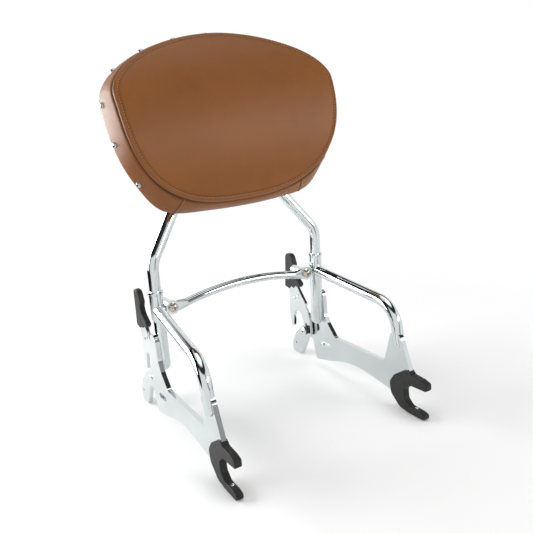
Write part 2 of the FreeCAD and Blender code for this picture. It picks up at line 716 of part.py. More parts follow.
def bar_bolts():
    """Build the two domed socket-head bolts of the cross-bar."""
    x, y, z = bar_place()
    head, shank, fit = size("bolt_head"), size("boss_bore"), 0.1
    edge, crown = 2, 3.4
    length = size("eye_thick") + size("bolt_length")
    profile = [(0, 0), (0, shank - fit), (length, shank - fit), (length, head), (length + edge, head)]
    solids = []
    for hand in HANDS:
        bolt = turned(profile, (hand * x, y + length, z), (0, -1, 0), crown)
        socket = Part.Face(Part.makePolygon(hexagon(head * 0.42))).extrude(Vector(0, 0, crown + edge / 2))
        socket.Placement = FreeCAD.Placement(
            Vector(hand * x, y - edge - crown - fit, z), FreeCAD.Rotation(Vector(0, 0, 1), Vector(0, 1, 0)))
        solids.append(bolt.cut(socket))
    return Part.makeCompound(solids)


def bar_boss():
    """Build the right boss behind the cross-bar's eye, with the lug that joins it to the leg."""
    x, y, z = bar_place()
    start, radius = y + size("eye_thick"), size("boss_radius")
    stop = start + size("boss_length")
    boss = cylinder(radius, Vector(x, start, z), Vector(x, stop, z))
    level = start + radius * 0.7
    lug = cylinder(radius * 0.65, Vector(x, level, z), Vector(leg_point(0).x, level, z))
    leg = cylinder(size("leg_radius") + 0.05, leg_point(size("leg_bottom")), leg_point(size("leg_top")))
    solid = boss.fuse(lug).cut(leg)
    for begin, end in ((start, start + size("boss_bolt_depth")), (stop - size("boss_rack_depth"), stop)):
        solid = solid.cut(cylinder(size("boss_bore"), Vector(x, begin, z), Vector(x, end, z)))
    return max(solid.Solids, key=lambda part: part.Volume)


def egg_point(angle, depth, inset=0.0):
    """Return X and level of the pad's outline at a depth; the angle counts up from the side."""
    grow = depth * size("pad_flare") - inset
    half = size("pad_width") / 2 + grow
    flat = size("pad_flare") * 36
    upper = math.sin(angle) >= 0
    height = (size("pad_top") if upper else size("pad_bottom")) - flat + grow
    power = TOP_POWER if upper else BOTTOM_POWER
    across = abs(math.cos(angle)) ** (2 / power)
    level = abs(math.sin(angle)) ** (2 / power)
    return (half * math.copysign(across, math.cos(angle)),
            size("pad_level") + height * math.copysign(level, math.sin(angle)))


def egg_wire(depth, inset=0.0):
    """Return the pad's outline at a depth as a smooth closed wire in the pad frame."""
    points = []
    for index in range(32):
        across, level = egg_point(2 * math.pi * index / 32, depth, inset)
        points.append(Vector(across, depth, level))
    curve = Part.BSplineCurve()
    curve.interpolate(points, PeriodicFlag=True)
    return Part.Wire(curve.toShape())


def rear_drum():
    """Return the drum whose front is the curved rear of the pad."""
    radius = size("pad_rear_curve")
    middle = Vector(-size("drum_length") / 2, size("pad_deep") + radius, size("pad_curve_level"))
    return Part.makeCylinder(radius, size("drum_length"), middle, Vector(1, 0, 0))


def pad_cushion():
    """Build the cushion: flared boxing, front and rear curved in side view."""
    block = Part.makeLoft([egg_wire(0), egg_wire(size("board_back"))], True, True)
    radius = size("pad_front_curve")
    middle = Vector(-size("drum_length") / 2, radius, size("pad_curve_level"))
    drum = Part.makeCylinder(radius, size("drum_length"), middle, Vector(1, 0, 0))
    solid = block.common(drum).cut(rear_drum())
    edges = []
    for edge in solid.Edges:
        box = edge.BoundBox
        if box.ZLength > 1 and box.YMin < 5:
            edges.append(edge)
    cushion = solid.makeFillet(size("pad_edge_round"), edges)
    pad_studs(cushion.copy())
    cushion.Placement = pad_placement()
    feature("pad_cushion", cushion)


def screw_places():
    """Return X and level of the four pad screws."""
    across, along = size("screw_across") / 2, size("screw_along") / 2
    return [(x, size("screw_level") + rise) for x in (-across, across) for rise in (-along, along)]


def screw_holes(solid, start, length):
    """Return a solid of the pad frame with the four screw holes cut from a depth rearwards."""
    for x, level in screw_places():
        hole = cylinder(size("screw_radius") + 0.1, Vector(x, start, level), Vector(x, start + length, level))
        solid = solid.cut(hole)
    return solid


def pad_board():
    """Build the back board: curved front, flat rear, four screw bosses."""
    back, reach = size("board_back"), size("boss_reach")
    block = Part.Face(egg_wire(0, -size("board_grow"))).extrude(Vector(0, back, 0))
    drum = rear_drum()
    drum.translate(Vector(0, size("board_gap"), 0))
    solid = block.common(drum)
    for x, level in screw_places():
        solid = solid.fuse(cylinder(size("screw_radius") * 3, Vector(x, back - 1, level),
                                    Vector(x, back + reach, level)))
    solid = screw_holes(solid, back + reach - size("screw_length"), size("screw_length"))
    solid.Placement = pad_placement()
    feature("pad_board", solid)


def pad_bracket():
    """Build the steel bracket between the hoop rods and the back board."""
    start = size("board_back") + size("boss_reach")
    thick, band, corner = size("bracket_thick"), size("bracket_band"), size("bracket_band") * 0.35
    half = size("hoop_half") + size("hoop_radius") * 0.75
    tall = size("screw_along") + 2 * size("bracket_edge")
    low = size("screw_level") - tall / 2
    plate = Part.makeBox(2 * half, thick, tall, Vector(-half, start, low))
    plate = plate.makeFillet(corner, short_edges(plate, thick))
    window = Part.makeBox(half, thick, tall - 2 * band, Vector(-half / 2, start, low + band))
    plate = plate.cut(window.makeFillet(corner, short_edges(window, thick)))
    plate = screw_holes(plate, start - thick, 3 * thick)
    plate.Placement = pad_placement()
    feature("pad_bracket", plate)


def short_edges(box, thick):
    """Return the four edges of a box that cross its thickness."""
    return [edge for edge in box.Edges if edge.BoundBox.YLength > thick / 2]


def pad_fasteners():
    """Build the four pad screws and their washers."""
    start = size("board_back") + size("boss_reach") + size("bracket_thick")
    shank, length = size("screw_radius"), size("screw_length")
    washer_thick, washer, head, edge = 1.2, shank * 2.2, shank * 1.8, shank / 3
    ring = [(0, shank + 0.1), (washer_thick, shank + 0.1), (washer_thick, washer), (0, washer)]
    body = [(0, 0), (0, shank), (length, shank), (length, head), (length + edge, head)]
    washers, screws = [], []
    for x, level in screw_places():
        washers.append(turned(ring, (x, start, level), (0, 1, 0)))
        screws.append(turned(body, (x, start + washer_thick - length, level), (0, 1, 0), shank * 0.8))
    for label, solids in (("pad_washers", washers), ("pad_screws", screws)):
        group = Part.makeCompound(solids)
        group.Placement = pad_placement()
        feature(label, group)


def boxing_point(angle):
    """Return the stud line's point at an angle: a set distance before the pad's curved rear."""
    depth = size("pad_deep")
    for _ in range(6):
        across, level = egg_point(angle, depth)
        rise = level - size("pad_curve_level")
        depth = size("pad_deep") + rise ** 2 / (2 * size("pad_rear_curve")) - size("stud_inset")
    return Vector(across, depth, level)


def stud_places():
    """Return evenly spaced places and outward directions of the studs, in the pad frame."""
    start = math.radians(size("stud_start"))
    steps = 400
    chain = []
    for step in range(steps + 1):
        chain.append(boxing_point(-start + (math.pi + 2 * start) * step / steps))
    lengths = [0.0]
    for before, after in zip(chain, chain[1:]):
        lengths.append(lengths[-1] + (after - before).Length)
    count = int(size("stud_count"))
    lean = math.atan(size("pad_flare"))
    places = []
    for number in range(count):
        target = lengths[-1] * number / (count - 1)
        index = min(range(1, steps), key=lambda step: abs(lengths[step] - target))
        along = chain[index + 1] - chain[index - 1]
        out = Vector(along.z, 0, -along.x).normalize() * math.cos(lean)
        places.append((chain[index], out - Vector(0, math.sin(lean), 0)))
    return places


def pad_studs(cushion):
    """Build the domed studs on the cushion's boxing, over its sides and top."""
    radius, lift = size("stud_radius"), 0.2
    edge, probe = radius / 5, radius * 3
    profile = [(0, 0), (0, radius), (edge, radius)]
    solids = []
    for place, normal in stud_places():
        line = Part.makeLine(place + normal * probe, place - normal * probe)
        inside = cushion.common(line)
        seat = max((point.Point.dot(normal), tuple(point.Point)) for point in inside.Vertexes)[1]
        solids.append(turned(profile, Vector(*seat) + normal * lift, normal, radius * 0.7))
    group = Part.makeCompound(solids)
    group.Placement = pad_placement()
    feature("pad_studs", group)


def build():
    """Build every piece and finish the document."""
    for hand in HANDS:
        side_plate(hand)
        fork_cover(hand)
        cover_screw(hand)
        latch_plate(hand)
        latch_grip(hand)
        grip_screws(hand)
        pivot_bolt(hand)
        pivot_washer(hand)
        collar(hand)
    for label, shape in (("rear_leg", rear_leg()), ("brace", brace()), ("bar_boss", bar_boss()),
                         ("latch_spring", latch_spring())):
        piece = feature("right_" + label, shape)
        mirrored(piece, "left_" + label)
    feature("hoop", hoop())
    feature("cross_bar", cross_bar())
    feature("bar_bolts", bar_bolts())
    pad_cushion()
    pad_board()
    pad_bracket()
    pad_fasteners()
    doc.recompute()


def check_and_export():
    """Check every object of the document and write one STEP file for each node."""
    for item in doc.Objects:
        if {"Invalid", "Error"} & set(item.State):
            raise RuntimeError("%s failed: %s" % (item.Label, item.State))
    os.makedirs("parts", exist_ok=True)
    for item in nodes:
        shape = item.Shape
        if shape.isNull() or not shape.isValid() or not shape.Solids:
            raise RuntimeError("%s has no valid solid" % item.Label)
        shape.exportStep("parts/%s.step" % item.Label)
        print("%-20s %2d solids %9.0f mm3" % (item.Label, len(shape.Solids), shape.Volume))


build()
check_and_export()
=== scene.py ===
"""Looks of a detachable passenger backrest: a studded leather pad on a chromed docking frame."""
import logging
import math
from dataclasses import dataclass, field
from enum import Enum
from typing import Callable, Iterable, Optional, Sequence, Union

import bmesh
import bpy
from mathutils import Matrix, Vector, noise
from mathutils.bvhtree import BVHTree


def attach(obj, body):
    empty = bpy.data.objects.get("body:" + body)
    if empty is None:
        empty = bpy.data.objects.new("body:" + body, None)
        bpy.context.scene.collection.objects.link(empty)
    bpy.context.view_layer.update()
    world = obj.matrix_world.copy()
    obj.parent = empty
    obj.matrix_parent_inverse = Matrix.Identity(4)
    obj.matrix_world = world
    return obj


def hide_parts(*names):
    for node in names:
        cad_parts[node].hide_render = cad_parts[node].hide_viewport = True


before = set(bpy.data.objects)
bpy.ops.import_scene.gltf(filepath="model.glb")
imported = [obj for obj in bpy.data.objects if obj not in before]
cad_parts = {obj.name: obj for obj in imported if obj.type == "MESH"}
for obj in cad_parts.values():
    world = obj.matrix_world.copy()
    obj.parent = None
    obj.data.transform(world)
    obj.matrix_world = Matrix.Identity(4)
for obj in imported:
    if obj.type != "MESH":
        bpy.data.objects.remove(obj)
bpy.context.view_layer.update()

MM = 0.001
TINY = 1e-9
BLACK = (0.0, 0.0, 0.0)
PHOTO_WIDTH = 533

log = logging.getLogger("backrest")


class Side(Enum):
    """The two hands of the frame; the value is the sign of X."""

    RIGHT = 1
    LEFT = -1

    @property
    def word(self) -> str:
        """The first word of this side's node names."""
        return self.name.lower()


class Cut(Enum):
    """How a vertex of the cover is held while the foam swells."""

    SEWN = 1.0
    TAUT = 0.55
    FREE = 0.0


# Shader graph


class Signal:
    """An output socket whose arithmetic adds Math nodes to its graph."""

    def __init__(self, graph: "Graph", socket: bpy.types.NodeSocket) -> None:
        """Wrap a socket of a graph."""
        self.graph = graph
        self.socket = socket

    def _math(self, operation: str, *values: "Operand") -> "Signal":
        """Add a Math node.

        Args:
            operation: the Math node's operation.
            values: what its sockets take, in order.

        Returns:
            The node's output.
        """
        inputs = dict(enumerate(values))
        return self.graph.node("ShaderNodeMath", {"operation": operation}, inputs)

    def __add__(self, other: "Operand") -> "Signal":
        """Sum of this and another value."""
        return self._math("ADD", self, other)

    def __radd__(self, other: "Operand") -> "Signal":
        """Sum of another value and this."""
        return self._math("ADD", other, self)

    def __sub__(self, other: "Operand") -> "Signal":
        """Difference of this and another value."""
        return self._math("SUBTRACT", self, other)

    def __rsub__(self, other: "Operand") -> "Signal":
        """Difference of another value and this."""
        return self._math("SUBTRACT", other, self)

    def __mul__(self, other: "Operand") -> "Signal":
        """Product of this and another value."""
        return self._math("MULTIPLY", self, other)

    def __rmul__(self, other: "Operand") -> "Signal":
        """Product of another value and this."""
        return self._math("MULTIPLY", other, self)

    def __truediv__(self, other: "Operand") -> "Signal":
        """Quotient of this and another value."""
        return self._math("DIVIDE", self, other)

    def __rtruediv__(self, other: "Operand") -> "Signal":
        """Quotient of another value and this."""
        return self._math("DIVIDE", other, self)

    def __pow__(self, other: "Operand") -> "Signal":
        """This value raised to a power."""
        return self._math("POWER", self, other)

    def clipped(self) -> "Signal":
        """This value held between 0 and 1."""
        return self._math("MINIMUM", self._math("MAXIMUM", self, 0.0), 1.0)


Operand = Union[Signal, float]


class Graph:
    """A material or world whose nodes are added by one method."""

    def __init__(self, owner: Union[bpy.types.Material, bpy.types.World]) -> None:
        """Clear the owner's node tree and keep it.

        Args:
            owner: the material or world.
        """
        owner.use_nodes = True
        self.owner = owner
        self.tree = owner.node_tree
        self.tree.nodes.clear()

    def node(self, kind: str, settings: dict, inputs: dict, output: Union[int, str] = 0) -> Signal:
        """Add any node.

        Args:
            kind: the node's type.
            settings: its properties; stops holds a colour ramp's stops.
            inputs: what each socket takes, by name or number: a link or a value.
            output: the socket that is returned.

        Returns:
            The chosen output.
        """
        added = self.tree.nodes.new(kind)
        for name, value in settings.items():
            if name == "stops":
                self._set_stops(added.color_ramp, value)
            else:
                setattr(added, name, value)
        for key, value in inputs.items():
            if isinstance(value, Signal):
                self.tree.links.new(value.socket, added.inputs[key])
            else:
                added.inputs[key].default_value = value
        return Signal(self, added.outputs[output])

    @staticmethod
    def _set_stops(ramp: bpy.types.ColorRamp, stops: Iterable[tuple]) -> None:
        """Give a ramp its stops, each a place and a grey or a colour.

        Args:
            ramp: the colour ramp.
            stops: place and tone of each stop, in order.
        """
        stops = list(stops)
        while len(ramp.elements) < len(stops):
            ramp.elements.new(0.5)
        for element, (place, colour) in zip(ramp.elements, stops):
            element.position = place
            element.color = (*colour, 1.0) if isinstance(colour, tuple) else (colour, colour, colour, 1.0)

    def place(self) -> Signal:
        """The place on the object, in metres."""
        return self.node("ShaderNodeTexCoord", {}, {}, "Object")

    def stretched(self, vector: Signal, scale: tuple[float, float, float]) -> Signal:
        """A place scaled along each axis."""
        return self.node("ShaderNodeVectorMath", {"operation": "MULTIPLY"}, {0: vector, 1: scale})

    def clouds(self, scale: float, detail: float = 3.0, rough: float = 0.55,
               vector: Optional[Signal] = None) -> Signal:
        """Noise with a number of features a metre, between 0 and 1."""
        inputs = {"Vector": vector or self.place(), "Scale": scale, "Detail": detail, "Roughness": rough}
        return self.node("ShaderNodeTexNoise", {}, inputs, 0)

    def cells(self, scale: float, vector: Optional[Signal] = None) -> Signal:
        """Distance from the walls of Voronoi cells, a number of cells a metre."""
        inputs = {"Vector": vector or self.place(), "Scale": scale}
        return self.node("ShaderNodeTexVoronoi", {"feature": "DISTANCE_TO_EDGE"}, inputs, "Distance")

    def stops(self, value: Signal, stops: Iterable[tuple]) -> Signal:
        """A value taken through a colour ramp."""
        return self.node("ShaderNodeValToRGB", {"stops": stops}, {"Fac": value}, "Color")

    def mark(self, name: str) -> Signal:
        """A number painted on the mesh's points."""
        return self.node("ShaderNodeAttribute", {"attribute_name": name}, {}, "Fac")

    def seen(self) -> Signal:
        """Whether a ray comes straight from the camera, as 0 or 1."""
        return self.node("ShaderNodeLightPath", {}, {}, "Is Camera Ray")

    def mixed(self, share: Operand, first: Union[Signal, tuple], second: Union[Signal, tuple]) -> Signal:
        """A colour between two colours.

        Args:
            share: how much of the second colour shows, from 0 to 1.
            first: a link or three numbers.
            second: a link or three numbers.

        Returns:
            The mixed colour.
        """
        first = first if isinstance(first, Signal) else (*first, 1.0)
        second = second if isinstance(second, Signal) else (*second, 1.0)
        return self.node("ShaderNodeMix", {"data_type": "RGBA"}, {0: share, 6: first, 7: second}, 2)

    def raised(self, height: Signal, distance: float, strength: float = 1.0) -> Signal:
        """A normal from a height between 0 and 1 that stands for a distance in metres."""
        return self.node("ShaderNodeBump", {}, {"Height": height, "Distance": distance, "Strength": strength})

    def surface(self, inputs: dict) -> bpy.types.Material:
        """Finish a material with a Principled shader.

        Args:
            inputs: what the shader's sockets take.

        Returns:
            The material.
        """
        shader = self.node("ShaderNodeBsdfPrincipled", {}, inputs)
        self.node_output("ShaderNodeOutputMaterial", shader)
        return self.owner

    def node_output(self, kind: str, shader: Signal) -> None:
        """Link a shader to the output node."""
        out = self.tree.nodes.new(kind)
        self.tree.links.new(shader.socket, out.inputs["Surface"])


def new_graph(name: str) -> Graph:
    """Start a new material's graph."""
    return Graph(bpy.data.materials.new(name))


# Finishes


@dataclass(frozen=True)
class Plating:
    """A bright plated metal: chrome or zinc."""

    name: str
    dark: tuple[float, float, float]
    light: tuple[float, float, float]
    rough: float
    haze: float
    ripple: float

    def make(self) -> bpy.types.Material:
        """Build the plated material.

        Returns:
            The material.
        """
        graph = new_graph(self.name)
        broad = graph.clouds(28.0, 3.0)
        fine = graph.clouds(900.0, 2.0)
        smear = graph.clouds(160.0, 4.0, 0.6, graph.stretched(graph.place(), (1.0, 0.35, 1.0)))
        haze = (broad * 0.6 + smear * 0.4) ** 2.0
        ripple = graph.raised(graph.clouds(70.0, 2.0) + fine * 0.02, self.ripple)
        return graph.surface({
            "Base Color": graph.mixed(broad, self.dark, self.light),
            "Metallic": 1.0,
            "Roughness": haze * self.haze + self.rough,
            "Normal": ripple,
        })


@dataclass(frozen=True)
class Moulding:
    """Moulded rubber or plastic with a fine grain and rubbed high spots."""

    name: str
    base: tuple[float, float, float]
    rubbed: tuple[float, float, float]
    rough: float
    grain: float
    depth: float
    specular: float = 0.18

    def make(self) -> bpy.types.Material:
        """Build the moulded material.

        Returns:
            The material.
        """
        graph = new_graph(self.name)
        cloud = graph.clouds(45.0, 4.0)
        grain = graph.clouds(self.grain, 2.0, 0.5)
        dust = (graph.clouds(210.0, 5.0, 0.7) - 0.52) * 4.0
        height = grain * 0.7 + graph.cells(self.grain * 0.6) * 0.3
        return graph.surface({
            "Base Color": graph.mixed((cloud * 0.5 + dust * 0.35).clipped(), self.base, self.rubbed),
            "Roughness": cloud * 0.14 + self.rough,
            "Normal": graph.raised(height, self.depth),
            "Specular IOR Level": self.specular,
        })


@dataclass(frozen=True)
class Coating:
    """Satin black paint over steel."""

    name: str
    base: tuple[float, float, float]
    worn: tuple[float, float, float]
    rough: float
    depth: float = 0.00006

    def make(self) -> bpy.types.Material:
        """Build the painted material.

        Returns:
            The material.
        """
        graph = new_graph(self.name)
        peel = graph.clouds(520.0, 2.0)
        cloud = graph.clouds(60.0, 4.0)
        return graph.surface({
            "Base Color": graph.mixed(cloud * 0.7, self.base, self.worn),
            "Roughness": cloud * 0.16 + self.rough,
            "Normal": graph.raised(peel, self.depth),
        })


@dataclass(frozen=True)
class Leather:
    """Smooth saddle leather with a fine pebbled grain, pull-up lights and painted shade in its seam grooves.
    """

    name: str
    deep: tuple[float, float, float]
    tan: tuple[float, float, float]
    # The seam colour is painted shade laid into the seam grooves.
    seam: tuple[float, float, float]
    rough: float
    pebble: float
    depth: float
    bend: float = 0.0011
    crease: float = 110.0
    crease_bend: float = 0.012
    coat: float = 0.03
    coat_rough: float = 0.32
    specular: float = 0.3

    def make(self) -> bpy.types.Material:
        """Build the leather material.

        Returns:
            The material.
        """
        graph = new_graph(self.name)
        pebble = graph.cells(self.pebble, self._bent(graph, self.bend))
        pores = graph.clouds(self.pebble * 2.2, 3.0, 0.6)
        creases = graph.cells(self.crease, self._bent(graph, self.crease_bend))
        broad = graph.clouds(9.0, 4.0, 0.6)
        patches = graph.clouds(48.0, 5.0, 0.65)
        height = (pebble * 2.2).clipped() * 0.55 + pores * 0.3 + (creases * 5.0).clipped() * 0.15
        tone = (broad * 0.75 + patches * 0.4 + (pebble * 2.0).clipped() * 0.12 - 0.14).clipped()
        body = graph.mixed(tone, self.deep, self.tan)
        # Painted shade: the seam mark darkens the leather towards the seam colour in the grooves.
        seam = graph.mark("seam")
        return graph.surface({
            "Base Color": graph.mixed(seam * 0.8, body, self.seam),
            "Roughness": patches * 0.12 + seam * 0.2 + self.rough - (pebble * 2.0).clipped() * 0.05,
            "Normal": graph.raised(height, self.depth),
            "Coat Weight": self.coat,
            "Coat Roughness": self.coat_rough,
            "Specular IOR Level": self.specular,
        })

    @staticmethod
    def _bent(graph: Graph, amount: float) -> Signal:
        """The place, pushed about so that the cells lose their straight walls.

        Args:
            graph: the leather's graph.
            amount: how far it is pushed, in metres.

        Returns:
            The pushed place.
        """
        inputs = {"Vector": graph.place(), "Scale": 420.0, "Detail": 2.0}
        push = graph.node("ShaderNodeTexNoise", {}, inputs, "Color")
        scaled = graph.node("ShaderNodeVectorMath", {"operation": "SCALE"}, {0: push, "Scale": amount})
        return graph.node("ShaderNodeVectorMath", {"operation": "ADD"}, {0: graph.place(), 1: scaled})


@dataclass(frozen=True)
class Thread:
    """Waxed sewing thread with a twist."""

    name: str
    pale: tuple[float, float, float]
    dark: tuple[float, float, float]
    rough: float = 0.5
    depth: float = 0.0002

    def make(self) -> bpy.types.Material:
        """Build the thread material.

        Returns:
            The material.
        """
        graph = new_graph(self.name)
        twist = graph.clouds(1900.0, 2.0, 0.6)
        return graph.surface({
            "Base Color": graph.mixed(twist, self.dark, self.pale),
            "Roughness": twist * 0.2 + self.rough,
            "Normal": graph.raised(twist, self.depth),
        })


CHROME = Plating("polished_chrome", (0.60, 0.645, 0.65), (0.70, 0.745, 0.75), 0.03, 0.07, 0.00003)
BOLT = Plating("satin_nickel", (0.42, 0.385, 0.33), (0.6, 0.56, 0.5), 0.2, 0.1, 0.00003)
# Painted dark reflection: the studs are the frame's chrome, darkened to stand in for the dark surroundings
# that their domes mirror.
SHADED_STUD_CHROME = Plating("stud_chrome", (0.36, 0.37, 0.37), (0.5, 0.51, 0.51), 0.06, 0.08, 0.00003)
ZINC = Plating("zinc_plate", (0.42, 0.42, 0.39), (0.66, 0.66, 0.62), 0.3, 0.3, 0.00006)
RUBBER = Moulding("moulded_rubber", (0.014, 0.015, 0.014), (0.036, 0.038, 0.035), 0.4, 1500.0, 0.00012)
PLASTIC = Moulding("grained_plastic", (0.018, 0.018, 0.018), (0.04, 0.04, 0.04), 0.5, 1100.0, 0.0002)
SATIN_BLACK = Coating("satin_black_steel", (0.015, 0.015, 0.016), (0.035, 0.035, 0.036), 0.34)
# The leather's third colour is painted shade for its seam grooves.
SADDLE = Leather("saddle_leather", (0.145, 0.046, 0.006), (0.27, 0.088, 0.0125), (0.03, 0.01, 0.003), 0.36,
                 950.0, 0.0002)
THREAD = Thread("tan_thread", (0.48, 0.24, 0.1), (0.27, 0.12, 0.045))


Finish = Union[Plating, Moulding, Coating, Leather, Thread]


class Finishes:
    """The materials, each built once."""

    def __init__(self) -> None:
        """Start with none."""
        self.made: dict[str, bpy.types.Material] = {}

    def get(self, finish: Finish) -> bpy.types.Material:
        """Return a finish's material, building it the first time.

        Args:
            finish: what the material shows.

        Returns:
            The material.
        """
        if finish.name not in self.made:
            self.made[finish.name] = finish.make()
        return self.made[finish.name]


# Mesh helpers


def mesh_piece(name: str, points: list[Vector], faces: list[tuple[int, ...]],
               material: bpy.types.Material) -> bpy.types.Object:
    """Make a smooth-shaded piece.

    Args:
        name: the piece's name.
        points: its vertices in metres.
        faces: vertex numbers of each face.
        material: its one material.

    Returns:
        The new object.
    """
    mesh = bpy.data.meshes.new(name)
    mesh.from_pydata([tuple(point) for point in points], [], faces)
    mesh.materials.append(material)
    mesh.update()
    mesh.shade_smooth()
    piece = bpy.data.objects.new(name, mesh)
    bpy.context.scene.collection.objects.link(piece)
    return piece


def turn_outwards(piece: bpy.types.Object) -> None:
    """Make all faces of a closed piece face outwards.

    Args:
        piece: the piece, whose mesh is changed.
    """
    work = bmesh.new()
    work.from_mesh(piece.data)
    bmesh.ops.recalc_face_normals(work, faces=work.faces)
    work.to_mesh(piece.data)
    work.free()


def refine(piece: bpy.types.Object, levels: int) -> None:
    """Subdivide a piece smoothly and keep the result as its mesh.

    Args:
        piece: the piece, whose mesh is changed.
        levels: how often each face is split.
    """
    modifier = piece.modifiers.new("Smooth", "SUBSURF")
    modifier.levels = levels
    modifier.render_levels = levels
    settle(piece)


def settle(piece: bpy.types.Object) -> None:
    """Turn a piece's modifiers into its mesh.

    Args:
        piece: the piece, which loses its modifiers.
    """
    graph = bpy.context.evaluated_depsgraph_get()
    mesh = bpy.data.meshes.new_from_object(piece.evaluated_get(graph))
    old = piece.data
    piece.modifiers.clear()
    piece.data = mesh
    mesh.name = piece.name
    bpy.data.meshes.remove(old)


def surface_of(piece: bpy.types.Object) -> BVHTree:
    """Return a search tree of a piece's surface.

    Args:
        piece: the piece.

    Returns:
        The tree, in the piece's own coordinates.
    """
    mesh = piece.data
    return BVHTree.FromPolygons([vertex.co for vertex in mesh.vertices],
                                [tuple(face.vertices) for face in mesh.polygons])


def band(first: Sequence[int], second: Sequence[int]) -> list[tuple[int, ...]]:
    """Return the faces between two closed rings.

    Args:
        first: vertex numbers of one ring.
        second: vertex numbers of the other, as many and in the same order.

    Returns:
        One four-sided face for each step round the rings.
    """
    following = [*range(1, len(first)), 0]
    return [(first[a], first[b], second[b], second[a]) for a, b in enumerate(following)]


# The pad, with lengths in millimetres; a probe is how far outside a surface its search ray starts


@dataclass
class PadShape:
    """The pad's outline and curves, in millimetres in its own tilted frame."""

    tilt: float = 14.0
    back: float = 1.7
    height: float = 374.0
    half_width: float = 157.0
    top: float = 83.2
    bottom: float = 143.5
    widest: float = 82.0
    top_power: float = 1.88
    bottom_power: float = 2.74
    flare: float = 0.35
    flat_depth: float = 36.0
    front_curve: float = 198.0
    rear_curve: float = 425.0
    curve_level: float = 51.0
    deep: float = 43.8
    side_slope: float = 0.2
    lower_slope: float = 0.07
    corner_slope: float = 0.26
    corner_angle: float = 60.0
    corner_spread: float = 15.0
    upper_slope: float = -0.165
    first_depth: float = 20.0
    edge_rounds: int = 7
    rear_rounds: int = 6
    run_steps: int = 3000
    turn_step: float = 0.01
    table: list[list[tuple[float, float]]] = field(default_factory=list)

    def __post_init__(self) -> None:
        """Measure the front edge, above and below the widest level."""
        for start in (0.0, math.pi):
            run, last, rows = 0.0, None, []
            for step in range(self.run_steps + 1):
                angle = start + math.pi * step / self.run_steps
                point = self.edge(angle)
                run += (point - last).length if last else 0.0
                rows.append((run, angle))
                last = point
            self.table.append([(run_so_far / run, angle) for run_so_far, angle in rows])

    def to_row(self, across: float, depth: float, level: float) -> Vector:
        """Return a pad point in the row's frame, in metres.

        Args:
            across: its place along X.
            depth: its distance behind the pad plane.
            level: its height along the tilted pad plane.

        Returns:
            The point.
        """
        tilt = math.radians(self.tilt)
        y = self.back + level * math.sin(tilt) + depth * math.cos(tilt)
        z = self.height + level * math.cos(tilt) - depth * math.sin(tilt)
        return Vector((across, y, z)) * MM

    def outline(self, angle: float, grow: float) -> tuple[float, float]:
        """Return X and level of the outline at an angle, grown by a distance.

        Args:
            angle: angle that counts up from the right side, in radians.
            grow: how far the outline is grown.

        Returns:
            X and level.
        """
        upper = math.sin(angle) >= 0
        height = (self.top if upper else self.bottom) - self.flare * self.flat_depth + grow
        power = self.top_power if upper else self.bottom_power
        across = abs(math.cos(angle)) ** (2 / power) * (self.half_width + grow)
        level = abs(math.sin(angle)) ** (2 / power) * height
        return math.copysign(across, math.cos(angle)), self.widest + math.copysign(level, math.sin(angle))

    def front(self, level: float) -> float:
        """Return the depth of the front face at a level."""
        return self.front_curve - math.sqrt(self.front_curve ** 2 - (level - self.curve_level) ** 2)

    def rear(self, level: float) -> float:
        """Return the depth of the rear face at a level."""
        return self.deep + self.rear_curve - math.sqrt(self.rear_curve ** 2 - (level - self.curve_level) ** 2)

    def edge(self, angle: float) -> Vector:
        """Return the front edge's point (across, depth, level) at an angle.

        Args:
            angle: the outline's angle.

        Returns:
            The point, whose depth agrees with the growth at that depth.
        """
        depth = self.first_depth
        for _ in range(self.edge_rounds):
            across, level = self.outline(angle, depth * self.flare)
            depth = self.front(level)
        return Vector((across, depth, level))

    def slope(self, angle: float) -> float:
        """Return how far the boxing leans outwards for each millimetre of depth.

        Args:
            angle: the outline's angle.

        Returns:
            The lean, which is greatest at the lower corners.
        """
        lean = self.side_slope
        height = math.sin(angle) ** 2
        if math.sin(angle) >= 0:
            return lean + self.upper_slope * height ** 2
        off_corner = (math.degrees(math.asin(math.sqrt(height))) - self.corner_angle) / self.corner_spread
        return lean + self.lower_slope * height + self.corner_slope * math.exp(-off_corner ** 2)

    def side(self, angle: float, depth: float) -> Vector:
        """Return the boxing's point (across, depth, level) at an angle and depth.

        Args:
            angle: the outline's angle.
            depth: the depth in the pad frame.

        Returns:
            The point.
        """
        start = self.edge(angle).y
        across, level = self.outline(angle, start * self.flare + (depth - start) * self.slope(angle))
        return Vector((across, depth, level))

    def rear_edge(self, angle: float, ahead: float = 0.0) -> Vector:
        """Return the rear edge's point at an angle, or the one a distance ahead of it.

        Args:
            angle: the outline's angle.
            ahead: how far in front of the rear edge.

        Returns:
            The point.
        """
        point = Vector((0.0, self.deep, self.widest))
        for _ in range(self.rear_rounds):
            point = self.side(angle, self.rear(point.z) - ahead)
        return point

    def even_angle(self, turn: float) -> float:
        """Return the outline angle at an even share of the way round.

        Args:
            turn: angle round the pad that counts the length of the edge, in radians.

        Returns:
            The angle that outline takes.
        """
        turn %= 2 * math.pi
        half = 0 if turn < math.pi else 1
        share = turn / math.pi - half
        rows = self.table[half]
        low, high = 0, len(rows) - 1
        while high - low > 1:
            middle = (low + high) // 2
            if rows[middle][0] > share:
                high = middle
            else:
                low = middle
        span = rows[high][0] - rows[low][0]
        part = (share - rows[low][0]) / span if span else 0.0
        return rows[low][1] + part * (rows[high][1] - rows[low][1])

    def outward(self, angle: float) -> Vector:
        """Return the unit direction away from the pad's middle, square to its edge."""
        before, after = self.edge(angle - self.turn_step), self.edge(angle + self.turn_step)
        return Vector((after.z - before.z, 0.0, before.x - after.x)).normalized()


